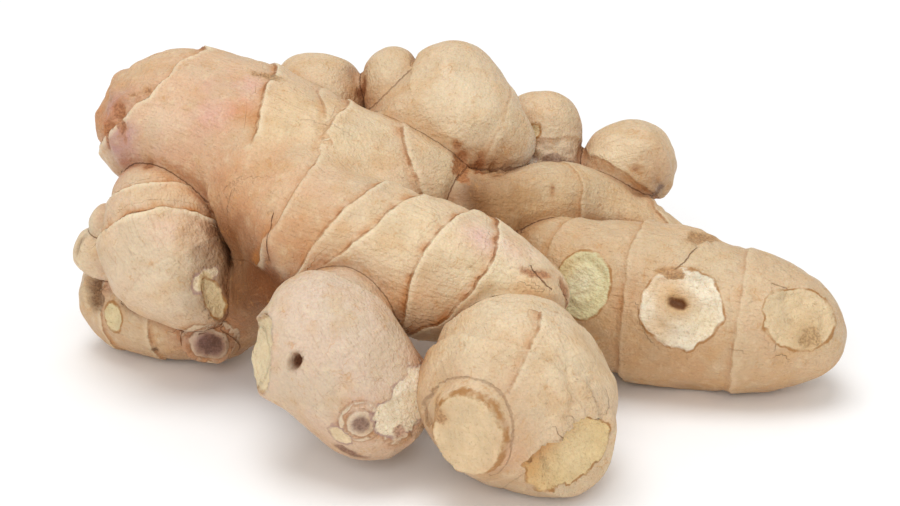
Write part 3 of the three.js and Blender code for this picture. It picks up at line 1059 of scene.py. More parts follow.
CRUMPLES = tuple(Crumple(*row) for row in (
    ((22.0, -54.5, 23.5), 6.5, 3.4, 0.9),
    ((-74.0, 27.0, 52.0), 15.0, 4.0, 0.8, TRUNK_BREAK),
    ((-9.0, -44.0, 11.5), 3.5, 2.8, 0.6),
    ((15.0, -23.0, 35.0), 5.0, 3.0, 0.5),
    ((-78.2, 11.4, 17.2), 5.0, 2.6, 0.7),
    ((-52.4, -2.8, 10.5), 5.0, 2.6, 0.6),
    ((5.0, 21.0, 41.0), 8.0, 3.2, 0.7),
    ((23.0, 38.0, 37.0), 5.0, 2.8, 0.7),
    ((52.0, 4.5, 32.0), 5.0, 2.8, 0.6),
    ((45.5, 33.0, 31.0), 4.5, 2.6, 0.8),
    ((72.0, -9.5, 20.0), 8.0, 4.0, 0.6),
    ((24.0, -52.0, 24.5), 5.0, 2.4, 0.6),
    ((-47.0, 0.0, 46.0), 8.0, 2.0, 0.4),
    ((-4.0, 28.0, 58.0), 12.0, 5.0, 0.35),
    ((-61.0, 1.0, 35.0), 9.0, 3.0, 0.3),
    ((10.0, -46.0, 30.0), 11.0, 4.5, 0.5),
    ((17.5, -57.6, 18.5), 3.4, 2.2, 0.9),
    ((8.0, 22.0, 41.0), 6.0, 2.6, 0.8),
    ((42.5, 35.0, 35.0), 8.0, 4.0, 0.8),
    ((21.0, 37.0, 38.5), 5.0, 2.4, 0.7),
    ((-73.5, 23.0, 50.0), 7.0, 2.8, 0.8, TRUNK_BREAK),
    ((-52.0, -4.0, 10.5), 5.0, 2.2, 0.5),
    ((-20.0, -45.5, 14.5), 6.0, 2.6, 0.4),
    ((-77.0, 11.0, 24.0), 5.0, 3.4, 0.6),
    ((-30.0, 55.0, 20.0), 9.0, 4.0, 0.6),
))


@dataclass(frozen=True)
class Swelling:
    """A broad bulge: its centre, how far it reaches and how high it stands, in millimetres, and
    the finger that swells."""

    finger: str
    at: Point
    radius: float
    height: float

    spread = 2.5  # how many radii out it is worked

    def work(self, skin: Skin) -> None:
        """Raises height * exp(-(distance / radius)^2) on the one finger.

        Args:
            skin: The skin that is worked.
        """
        rows = skin.near(self.at, self.spread * self.radius)
        rows = rows[skin.owner[rows] == FINGER_INDEX[self.finger]]
        distance = np.linalg.norm(skin.points[rows] - np.array(self.at), axis=1)
        skin.lift[rows] += self.height * bump(distance, self.radius)


SWELLINGS = (
    # the two front fingers press against each other
    Swelling("front_right_finger", (-3.5, -41.0, 18.0), 9.0, 2.6),
    Swelling("front_left_finger", (-7.0, -37.5, 17.5), 8.0, 1.6),
    Swelling("side_finger", (-66.0, 1.0, 27.0), 9.0, 1.2),
    Swelling("right_neck", (24.0, 22.0, 39.0), 8.0, 1.0),
    Swelling("back_finger", (3.0, 24.0, 52.0), 7.0, 1.0),
)


@dataclass(frozen=True)
class Stain:
    """A soft patch of colour in the skin.

    Attributes:
        at: Its centre, in millimetres.
        radius: Where it has faded to a third, in millimetres.
        colour: Its sRGB colour.
        strength: How much of it shows at the centre, from 0 to 1.
        before: A ring that it stops at, if any: it lies on the side away from the tip.
        bared: Whether it colours the bared flesh instead of the skin.
    """

    at: Point
    radius: float
    colour: str
    strength: float
    before: Ring | None = None
    bared: bool = False

    # How many radii out it is worked, where it stops across the ring in millimetres, and how its
    # border is frayed: by what share of the distance, and the tatters' length in millimetres.
    spread = 3.0
    stop = (-0.4, 0.4)
    fray = 0.22
    tatter_mm = 5.0

    def work(self, skin: Skin) -> None:
        """Mixes the colour in by strength * exp(-(distance / radius)^2), with a frayed border.

        Args:
            skin: The skin that is worked.
        """
        rows = skin.near(self.at, self.spread * self.radius)
        points = skin.points[rows]
        arm = np.linalg.norm(points - np.array(self.at), axis=1)
        frayed = arm * (1.0 + self.fray * rough_noise(points, self.tatter_mm, Seed.STAIN_FRAY))
        weight = self.strength * bump(frayed, self.radius)
        if self.before is not None:
            weight = weight * (1.0 - smoothstep(*self.stop, self.before.signed(points)))
        skin.blend(skin.flesh if self.bared else skin.tone, rows, linear(self.colour), weight)


STAINS = tuple(Stain(*row) for row in (
    # trunk: warm towards its left end, creamy past the first ring
    ((-56, 14, 55), 20.0, "#d8a684", 0.6, TRUNK_RING),
    ((-46, 0, 44), 13.0, "#cb915f", 0.65, NECK_RING),
    ((-44.3, 11.1, 58.1), 3.6, "#d07f55", 0.75, TRUNK_RING),
    ((-51.5, 11.5, 56.9), 4.5, "#dba39a", 0.5),
    ((-43.6, 17.5, 62), 3.0, "#dfaaa2", 0.55),
    ((-49.7, 17.8, 62.1), 4.0, "#dba293", 0.5),
    ((-62, 14, 55), 6.0, "#e6c9ab", 0.7),
    ((-57, 6, 49), 5.0, "#c98a62", 0.5),
    ((-50, 3, 52), 5.0, "#cf9873", 0.5),
    ((-37, 6, 57), 6.0, "#e6cda2", 0.6),
    ((-33, 14, 58.5), 7.0, "#e0c294", 0.5),
    ((-24, 8, 53), 7.0, "#e8d2aa", 0.6),
    ((-18, 17, 52), 6.0, "#e9d6b2", 0.6),
    ((-36, 0, 52), 5.0, "#c89468", 0.5),
    ((-22, -6, 51), 5.0, "#cda57c", 0.5),
    ((-14, -12, 49), 4.0, "#cfa888", 0.5),
    ((-1, -14, 45), 5.0, "#d9b79e", 0.5),
    ((-64, 13, 50), 4.0, "#cf9c7d", 0.6),
    ((-71.9, 19.9, 47.7), 3.6, "#a9747f", 0.65),
    ((-69.5, 17.0, 50.5), 3.4, "#b98892", 0.45),
    ((-75, 28, 52), 12.0, "#c18455", 0.85, TRUNK_BREAK),
    ((-72, 24, 55), 4.0, "#b58385", 0.55, TRUNK_BREAK),
    ((-77, 24, 46), 5.0, "#cf8350", 0.6, TRUNK_BREAK),
    ((-68, 30, 60), 5.0, "#dfc19b", 0.6, TRUNK_BREAK),
    # crevice between trunk and neck, browned there as painted shade, and the neck's own left side
    ((-39.3, -13.8, 40.2), 8.0, "#b97340", 0.8),
    ((-44.3, -6.6, 42.6), 7.0, "#bd7a48", 0.6),
    ((-47.0, -2.0, 38.0), 6.0, "#9c6238", 0.6),
    ((-31.0, -18.5, 43.5), 6.5, "#c08048", 0.8),
    ((-28.5, -15.5, 48.0), 5.0, "#cb9463", 0.6),
    ((-25.1, -19.9, 44.6), 4.0, "#d39a62", 0.6),
    ((-33, -9, 46), 9.0, "#d9ab82", 0.55),
    ((-24, -11, 48), 6.0, "#d3b294", 0.5),
    ((-8, -17, 44), 12.0, "#e8d0a8", 0.6),
    ((8, -24, 38), 9.0, "#f0dfba", 0.75),
    ((5, -19.3, 42.6), 3.6, "#e2b5ae", 0.7),
    ((12, -18.5, 39.5), 4.5, "#e6c3b4", 0.5),
    ((16, -24.5, 33), 4.0, "#dfa85f", 0.55),
    ((-6, -27, 35), 4.5, "#cf9660", 0.55),
    ((-12, -27, 33), 4.0, "#d9a36b", 0.5),
    # front fingers
    ((-26, -36, 33), 9.0, "#dcc6b2", 0.55),
    ((-14, -41, 21.5), 3.5, "#b79ca0", 0.55),
    ((-24, -44, 12), 7.0, "#d9b69a", 0.5),
    ((-15.4, -45.6, 16.8), 2.4, "#d8c684", 0.55),
    ((-9.5, -44.5, 11.5), 4.0, "#cda583", 0.6),
    ((-2, -33, 27), 6.0, "#d1a479", 0.6),
    # the next three are painted shade in the crease where the two front fingers press together
    ((-3, -42, 20), 7.0, "#c08f62", 0.6),
    ((-4.5, -37, 21), 4.0, "#9c6437", 0.7),
    ((-6.5, -34, 24), 4.0, "#a87042", 0.6),
    ((4, -50, 28), 9.0, "#e9d1ac", 0.6),
    ((13, -40, 37), 7.0, "#ead4b2", 0.6),
    ((20, -50, 29), 5.0, "#e9d4b0", 0.6),
    ((9, -53, 22), 5.0, "#cfa37c", 0.5),
    ((0, -50, 27), 3.5, "#b98a62", 0.5),
    ((27, -44, 20), 8.0, "#e0c6a2", 0.5),
    ((10, -58, 16), 3.5, "#dba37a", 0.55),
    # side finger, low finger and its buds
    ((-60.4, -2.9, 37.2), 3.0, "#dfb5a2", 0.5),
    ((-58, -5, 30), 7.0, "#e8d3b4", 0.7),
    ((-62, 4, 41), 5.0, "#e7d0ab", 0.6),
    ((-61, 9.5, 43.5), 2.6, "#c0803f", 0.6),
    ((-64, 4.5, 40.5), 2.6, "#c48648", 0.55),
    ((-67, 10, 46), 4.0, "#dcc3a2", 0.5),
    ((-72, 16, 42), 3.5, "#b4683f", 0.6),
    ((-77, 13, 30), 6.0, "#e9dabd", 0.75),
    ((-79, 12, 25), 5.0, "#e3d0ad", 0.6),
    # the next seven are painted shade: dark brown in the hollow under the trunk, between the side
    # finger, the front neck and the low finger
    ((-39.6, -12.7, 32.9), 5.0, "#6b3a1a", 0.9),
    ((-41.8, -12.7, 29.0), 8.0, "#54290f", 0.95),
    ((-45.0, -8.0, 24.0), 8.0, "#582e12", 0.9),
    ((-48.0, 1.9, 28.2), 6.0, "#5a3318", 0.9),
    ((-46.3, -4.5, 37.0), 4.5, "#7a451f", 0.85),
    ((-37.9, -15.0, 29.5), 5.0, "#7d4822", 0.8),
    ((-45.9, -3.2, 15.9), 5.0, "#7a4e2c", 0.7),
    # the next five are painted shade in the hollow behind the neck's end, dark at first and lighter
    # towards the right
    ((5.0, 10.0, 36.8), 6.0, "#6b3f1a", 0.9),
    ((3.3, 12.5, 40.5), 3.6, "#6a3b18", 0.85),
    ((8.5, 12.8, 38.0), 6.0, "#86572b", 0.8),
    ((14.5, 14.5, 38.0), 6.0, "#a67a48", 0.7),
    ((22, 15.5, 36.0), 6.0, "#bd935f", 0.5),
    ((5.5, 22.1, 41.0), 5.0, "#b98050", 0.55),
    ((1.2, 19.1, 43.4), 3.0, "#8a4f25", 0.8),
    ((13.0, 24.5, 38.6), 5.0, "#9f8068", 0.5),
    ((-72, 10, 22), 4.0, "#dcbcae", 0.5),
    ((-52.4, -3.0, 10.5), 5.5, "#8f6c66", 0.75),
    ((-50.8, -4.4, 10.5), 2.0, "#a27b45", 0.8),
    ((-54.6, -3.8, 12.0), 1.8, "#8b6d7c", 0.7),
    # the next two are painted shade in the same hollow under the trunk
    ((-45, 2, 18), 8.0, "#a9764b", 0.7),
    ((-44, -6, 28), 8.0, "#8a5a36", 0.7),
    # painted shade on the low finger's lower side
    ((-60, 8, 6), 10.0, "#c99d73", 0.5),
    ((-51.5, -1.5, 27.5), 3.5, "#d3b48c", 0.5),
    # back
    ((-14.5, 34.7, 59), 6.0, "#dfc9a4", 0.5),
    ((0, 26, 58), 8.0, "#ead7b6", 0.6),
    ((8, 24, 50), 7.0, "#e9d5b2", 0.5),
    ((-8, 24, 52), 5.0, "#cfa97e", 0.5),
    ((9, 25, 44), 4.0, "#c3976d", 0.5),
    ((37, 33, 40), 5.0, "#e8d3ae", 0.6),
    ((44, 36, 37), 4.0, "#cda077", 0.5),
    ((-20.4, 36.8, 53.5), 4.0, "#b47a4d", 0.6),
    ((3, 20, 41), 5.0, "#b98455", 0.5),
    ((10, 22, 40), 6.0, "#bd9168", 0.55),
    ((15, 28, 42), 3.5, "#ddd6cb", 0.6),
    ((23.5, 38.3, 38.5), 3.5, "#cfc3b6", 0.6),
    ((-4, 15, 43), 6.0, "#e9d5ab", 0.5),
    ((14, 9, 33), 8.0, "#b08456", 0.6),
    ((24, 14, 36), 6.0, "#e3c8a1", 0.4),
    ((44, 34, 33), 4.0, "#c29a76", 0.5),
    # right finger
    ((47, -10, 23), 12.0, "#ddbd98", 0.4),
    # the next four are painted shade along the right finger's lower side
    ((30.5, -7.0, 16.0), 9.0, "#c0925f", 0.6),
    ((41.0, -10.5, 14.0), 8.0, "#c29361", 0.6),
    ((51.5, -11.4, 10.5), 8.0, "#bf8f5f", 0.6),
    ((63.0, -12.0, 8.0), 8.0, "#c59a6c", 0.6),
    ((26.0, 1.0, 29.0), 7.0, "#c99b69", 0.5),
    ((52.0, -3.0, 31.0), 6.0, "#e2c9a4", 0.6),
    ((60.0, -9.0, 25.0), 7.0, "#e0c6a2", 0.5),
    ((36.0, -6.0, 25.0), 4.0, "#b98454", 0.45),
    ((42.0, 1.0, 32.5), 6.0, "#d9bb93", 0.5),
    ((66, -10, 17), 5.0, "#d5a983", 0.4),
    ((68.8, -9.5, 20.0), 3.0, "#d9b08a", 0.4),
))

FLESH_STAINS = tuple(Stain(*row, bared=True) for row in (
    ((15.4, -57.0, 16.4), 5.4, "#c0742f", 0.9),
    ((19.0, -57.0, 18.8), 4.6, "#cf8d48", 0.85),
    ((14.4, -57.5, 11.5), 3.0, "#cf9a55", 0.6),
    ((24.0, -53.0, 11.5), 5.0, "#ecd7ac", 0.6),
    ((-3.4, -55.6, 21.6), 2.2, "#b9803f", 0.8),
    ((-2.6, -56.4, 13.4), 2.2, "#c79558", 0.7),
    ((26.2, -3.8, 26.6), 3.2, "#ece4c4", 0.7),
    ((23.0, -0.5, 28.5), 2.6, "#cfa868", 0.6),
    ((46.6, -9.6, 24.0), 3.6, "#c48d3f", 0.9),
    ((52.0, -10.5, 20.0), 4.0, "#e9d6b0", 0.7),
    ((44.0, -9.0, 28.4), 3.6, "#dda45f", 0.6),
    ((42.5, -10.8, 19.0), 3.4, "#cda069", 0.6),
    ((73.0, -11.5, 17.5), 4.0, "#cfa56f", 0.6),
    ((-51.6, -4.6, 25.0), 2.0, "#efe0ba", 0.6),
))

FINGER_TONES = {
    "trunk": "#dfbf9a",
    "front_neck": "#e2c6a2",
    "front_left_finger": "#d9bfa6",
    "front_left_stub": "#dcc3a8",
    "side_finger": "#dec5a6",
    "low_finger": "#d0b08a",
    "low_bud": "#d9bea2",
    "right_finger": "#d5b690",
    "right_neck": "#d8ba92",
    # painted shade: the middle core fills the hollow behind the neck's end and is given a dark
    # brown tone
    "middle_core": "#a87c50",
    "front_right_finger": "#dec39f",
    "front_right_stub_left": "#e2c9a6",
    "front_right_stub_right": "#dfc4a0",
    "back_finger": "#dcc09c",
}
COMMON_TONE = "#dcc09c"
# painted shade: the brown laid into the creases between fingers
CREVICE_SHADE_COLOUR = "#a5693a"
# painted shade: the brown laid on the skin where it faces down
UNDERSIDE_SHADE_COLOUR = "#c0946a"


@dataclass(frozen=True)
class Rhizome:
    """The ginger's skin: the welded fingers, the marks in them and what the material reads.

    Attributes:
        voxel_mm: The side of a quad.
        weld_rounds: How often the points are moved onto the welded surface.
        weld_step_mm: The furthest that one round moves a point.
        least_slope: The smallest squared slope that a round divides by.
        relax_rounds: How often the points are evened out in each round, and at the end.
        lumps: Size and height in millimetres and seed of each layer of lumps.
        tone_blend_mm: How fast one finger's colour gives way to the next.
        tone_limits_mm: Distances are kept within these for that.
        tight_weld_mm: Pairs with a weld narrower than the first meet in a tight crease, and
            those with one wider than the second flow together.
        crease_mm: Depth and half width of a tight crease.
        crease_reach_mm: How far from its middle it is worked.
        least_tightness: A crease less tight than this isn't worked.
        crease_shade_tint: How dark the painted shade line along a tight crease is.
        crevice_shade_mm: How far the brown painted shade of a crease spreads.
        crevice_shade_stray: By what share noise varies that, and the noise's size in millimetres.
        crevice_shade_strength: How much of that painted shade shows.
        underside_shade_turn: How far down the skin faces where the underside's painted shade starts
            and where it is full, as the sine of the angle below level.
        underside_shade_strength: How much of that painted shade shows.
        attribute_limit_mm: Distances are stored up to this.
        grain_edge_mm: Wrinkles start and are full this far from the crease to the next finger.
    """

    voxel_mm: float = 0.8
    weld_rounds: int = 3
    weld_step_mm: float = 1.5
    least_slope: float = 0.25
    relax_rounds: tuple[int, int] = (2, 3)
    lumps: tuple[tuple[float, float, int], ...] = (
        (24.0, 0.9, 41), (10.0, 0.7, 42), (4.0, 0.28, 43), (2.2, 0.08, 44))
    tone_blend_mm: float = 2.0
    tone_limits_mm: tuple[float, float] = (-1.0, 40.0)
    tight_weld_mm: tuple[float, float] = (2.0, 8.0)
    crease_shade_mm: tuple[float, float] = (0.7, 1.4)
    crease_reach_mm: float = 5.0
    least_tightness: float = 0.2
    crease_shade_tint: float = 0.85
    crevice_shade_mm: float = 3.0
    crevice_shade_stray: tuple[float, float] = (0.3, 4.0)
    crevice_shade_strength: float = 0.75
    underside_shade_turn: tuple[float, float] = (-0.1, 0.9)
    underside_shade_strength: float = 0.45
    attribute_limit_mm: float = 6.0
    grain_edge_mm: tuple[float, float] = (0.5, 4.0)

    def build(self) -> bpy.types.Object:
        """Makes the finished skin.

        Returns:
            The skin as one piece at the origin.
        """
        points, quads = self.remeshed()
        points, quads = self.largest_shell(points, quads)
        points = self.weld(points, self.edges_of(quads))
        normals = self.normals_of(points, quads)
        readings = [finger.read(points) for finger in FINGERS]
        skin = Skin(points, normals, np.stack([reading.distance for reading in readings]))
        self.colour_fingers(skin)
        self.add_lumps(skin)
        for ring in RINGS:
            ring.work(skin)
        for mark in (*STAINS, *SWELLINGS, *CRUMPLES, *CRACKS, *SCARS, *FLESH_STAINS):
            mark.work(skin)
        moved = skin.moved()
        mesh = bpy.data.meshes.new(SLOT)
        mesh.from_pydata((moved * MM).tolist(), [], quads.tolist())
        mesh.shade_smooth()
        self.store(mesh, skin, readings)
        piece = bpy.data.objects.new(SLOT, mesh)
        bpy.context.scene.collection.objects.link(piece)
        return piece

    def remeshed(self) -> tuple[Array, Array]:
        """Joins the fingers' surfaces and remeshes them into one closed skin of quads.

        Returns:
            Vertices in millimetres, and quads as rows of four indices.
        """
        parts, faces, offset = [], [], 0
        for finger in FINGERS:
            points, quads = finger.surface()
            parts.append(points)
            faces.append(quads + offset)
            offset += len(points)
        mesh = bpy.data.meshes.new("ginger_fingers")
        mesh.from_pydata((np.vstack(parts) * MM).tolist(), [], np.vstack(faces).tolist())
        holder = bpy.data.objects.new("ginger_fingers", mesh)
        bpy.context.scene.collection.objects.link(holder)
        remesh = holder.modifiers.new("one_skin", "REMESH")
        remesh.mode = "VOXEL"
        remesh.voxel_size = self.voxel_mm * MM
        depsgraph = bpy.context.evaluated_depsgraph_get()
        whole = bpy.data.meshes.new_from_object(holder.evaluated_get(depsgraph))
        bpy.data.objects.remove(holder)
        bpy.data.meshes.remove(mesh)
        points = np.empty(len(whole.vertices) * 3)
        whole.vertices.foreach_get("co", points)
        corners = np.empty(len(whole.loops), dtype=np.int32)
        whole.loops.foreach_get("vertex_index", corners)
        bpy.data.meshes.remove(whole)
        return points.reshape(-1, 3) / MM, corners.reshape(-1, 4)

    def edges_of(self, quads: Array) -> Array:
        """Lists each edge of the quads once, as rows of two indices."""
        pairs = np.stack([quads, np.roll(quads, -1, axis=1)], axis=-1).reshape(-1, 2)
        return np.unique(np.sort(pairs, axis=1), axis=0)

    def largest_shell(self, points: Array, quads: Array) -> tuple[Array, Array]:
        """Keeps the outer skin and drops the sealed bubbles that overlapping fingers leave.

        Each vertex takes the lowest label among its neighbours and then that label's own label,
        until nothing changes, so every shell ends with one label.

        Args:
            points: Positions of all vertices.
            quads: All quads, as rows of four indices.

        Returns:
            The vertices and quads of the shell with the most vertices.
        """
        edges = self.edges_of(quads)
        label = np.arange(len(points))
        while True:
            low = label[edges].min(1)
            lower = label.copy()
            np.minimum.at(lower, edges[:, 0], low)
            np.minimum.at(lower, edges[:, 1], low)
            lower = lower[lower]
            if np.array_equal(lower, label):
                break
            label = lower
        kept = label == np.bincount(label).argmax()
        index = np.cumsum(kept) - 1
        return points[kept], index[quads[kept[quads[:, 0]]]]

    def normals_of(self, points: Array, quads: Array) -> Array:
        """Averages at each vertex the crossed diagonals of the quads around it.

        Args:
            points: Positions of the vertices.
            quads: The quads, as rows of four indices.

        Returns:
            Unit normals, one row for each vertex.
        """
        a, b, c, d = points[quads].transpose(1, 0, 2)
        crossed = np.repeat(np.cross(c - a, d - b), 4, axis=0)
        corners = quads.ravel()
        total = [np.bincount(corners, crossed[:, axis], len(points)) for axis in range(3)]
        return unit(np.stack(total, axis=1))

    def weld_widths(self) -> Array:
        """Gathers how softly each pair of fingers flows together.

        Returns:
            The blend widths in millimetres, as a square table.
        """
        widths = np.full((len(FINGERS), len(FINGERS)), CREASE_MM)
        for (one, other), width in WELDS_MM.items():
            i, j = FINGER_INDEX[one], FINGER_INDEX[other]
            widths[i, j] = widths[j, i] = width
        return widths

    def weld(self, points: Array, edges: Array) -> Array:
        """Moves points onto the surface where the two nearest fingers flow together.

        With the nearest distance a, the next b and the pair's width k, the blended distance is
        a - h^2 k / 4, where h = max(k - (b - a), 0) / k. A Newton step along its gradient,
        (1 - h/2) outward_a + (h/2) outward_b, is taken a few times.

        Args:
            points: Positions in millimetres, one row each.
            edges: Pairs of neighbours.

        Returns:
            The moved points.
        """
        widths = self.weld_widths()
        row = np.arange(len(points))
        for _ in range(self.weld_rounds):
            readings = [finger.read(points) for finger in FINGERS]
            distances = np.stack([reading.distance for reading in readings])
            outward = np.stack([reading.outward for reading in readings])
            order = np.argsort(distances, axis=0)
            near, far = order[0], order[1]
            a, b = distances[near, row], distances[far, row]
            k = widths[near, far]
            h = np.maximum(k - (b - a), 0.0) / k
            field = a - h * h * k / 4
            slope = (1 - h / 2)[:, None] * outward[near, row] + (h / 2)[:, None] * outward[far, row]
            steep = np.maximum((slope * slope).sum(1), self.least_slope)
            short = np.clip(field, -self.weld_step_mm, self.weld_step_mm) / steep
            points = self.relax(points - short[:, None] * slope, edges, self.relax_rounds[0])
        return self.relax(points, edges, self.relax_rounds[1])

    def relax(self, points: Array, edges: Array, rounds: int) -> Array:
        """Moves each point halfway to the middle of its neighbours, round by round.

        Args:
            points: Positions in millimetres, one row each.
            edges: Pairs of neighbours.
            rounds: How often to do it.

        Returns:
            The moved points.
        """
        count = np.bincount(edges.ravel(), minlength=len(points)).astype(float)[:, None]
        for _ in range(rounds):
            total = np.stack([
                np.bincount(edges[:, 0], points[edges[:, 1], axis], len(points))
                + np.bincount(edges[:, 1], points[edges[:, 0], axis], len(points))
                for axis in range(3)], axis=1)
            points = 0.5 * points + 0.5 * total / count
        return points

    def colour_fingers(self, skin: Skin) -> None:
        """Gives each finger its own tone, blended by exp(-distance / tone_blend_mm), and paints
        shade:
        brown in the creases between fingers, a dark line along the tight ones, and a browner
        underside.

        Args:
            skin: The skin that is coloured.
        """
        tones = [linear(FINGER_TONES.get(finger.name, COMMON_TONE)) for finger in FINGERS]
        weight = np.exp(-np.clip(skin.distances, *self.tone_limits_mm) / self.tone_blend_mm)
        skin.tone[:] = (weight.T @ np.stack(tones)) / weight.sum(0)[:, None]
        order = np.argsort(skin.distances, axis=0)
        one, other = np.minimum(order[0], order[1]), np.maximum(order[0], order[1])
        tightness = 1.0 - smoothstep(*self.tight_weld_mm, self.weld_widths()[one, other])
        rows = np.arange(len(skin.points))
        across = skin.distances[one, rows] - skin.distances[other, rows]
        tight = np.flatnonzero(
            (tightness > self.least_tightness) & (np.abs(across) < self.crease_reach_mm))
        depth, width = self.crease_shade_mm
        skin.lift[tight] -= depth * bump(across[tight], width) * tightness[tight]
        # painted shade: a dark line drawn along each tight crease
        close = self.crease_shade_tint * (1.0 - smoothstep(*LINE_FADE_MM, np.abs(across[tight])))
        skin.draw_line(Line.CRACK, tight, across[tight], close * tightness[tight])
        # painted shade: brown spread across the tight creases, wider or narrower by noise
        share, size = self.crevice_shade_stray
        spread = self.crevice_shade_mm * (1.0 + share * rough_noise(skin.points, size, Seed.CREASE_STRAY))
        brown = bump(np.maximum(skin.gap, 0.0), spread) * tightness
        skin.blend(skin.tone, rows, linear(CREVICE_SHADE_COLOUR), self.crevice_shade_strength * brown)
        # painted shade: the skin is made browner the further it faces down
        under = smoothstep(*self.underside_shade_turn, -skin.normals[:, 2])
        skin.blend(skin.tone, rows, linear(UNDERSIDE_SHADE_COLOUR), self.underside_shade_strength * under)

    def add_lumps(self, skin: Skin) -> None:
        """Swells and dents the skin at a few sizes, so that no finger is a smooth tube."""
        for size, height, seed in self.lumps:
            skin.lift += height * value_noise(skin.points, size, seed)

    def store(self, mesh: bpy.types.Mesh, skin: Skin, readings: list[Reading]) -> None:
        """Writes the arrays that the material reads as attributes of the mesh.

        Args:
            mesh: The skin's mesh.
            skin: The worked skin.
            readings: Each finger's reading of the points.
        """
        count = len(skin.points)
        opaque = np.ones((count, 1))
        for name, values in (("tone", skin.tone), ("flesh", skin.flesh)):
            colour = mesh.attributes.new(name, "FLOAT_COLOR", "POINT")
            colour.data.foreach_set("color", np.hstack([values.clip(0, 1), opaque]).ravel())
        grain = np.stack([reading.grain for reading in readings])[skin.owner, np.arange(count)]
        vector = mesh.attributes.new("grain", "FLOAT_VECTOR", "POINT")
        vector.data.foreach_set("vector", grain.ravel())
        limit = self.attribute_limit_mm
        numbers = {layer.value: skin.borders[layer].clip(-limit, limit) for layer in Layer}
        numbers |= {line.value: skin.lines[line].clip(-limit, limit) for line in Line}
        numbers |= {line.value.replace("_mm", "_tint"): skin.tints[line] for line in Line}
        numbers["grain_share"] = smoothstep(*self.grain_edge_mm, skin.gap)
        for name, values in numbers.items():
            scalar = mesh.attributes.new(name, "FLOAT", "POINT")
            scalar.data.foreach_set("value", values.astype(np.float32))


# ---------------------------------------------------------------- finishes


Socket = bpy.types.NodeSocket
SMOOTH = "SMOOTHSTEP"
STRAIGHT = "LINEAR"

# A Mix node's inputs for the share and the two colours, and its output for the mixed colour.
SHARE, UNDER, OVER, MIXED = 0, 6, 7, 2


def add(tree: bpy.types.NodeTree, kind: str, sockets: dict[int | str, object],
        out: int | str = 0, **settings: object) -> Socket | None:
    """Adds one node with its settings and links.

    Args:
        tree: The node tree that it goes in.
        kind: The node's type, without the ShaderNode in front.
        sockets: What each input holds, by name or number: another node's output, or a value.
        out: The name or number of the output that is wanted.
        settings: The node's own properties.

    Returns:
        The wanted output, or None where the node has no output.
    """
    node = tree.nodes.new("ShaderNode" + kind)
    for name, value in settings.items():
        setattr(node, name, value)
    for socket, value in sockets.items():
        if isinstance(value, Socket):
            tree.links.new(value, node.inputs[socket])
        else:
            node.inputs[socket].default_value = value
    return node.outputs[out] if node.outputs else None


def rgba(colour: str) -> tuple[float, float, float, float]:
    """Gives an sRGB hex colour as the linear red, green, blue and alpha that a socket holds."""
    return (*linear(colour), 1.0)


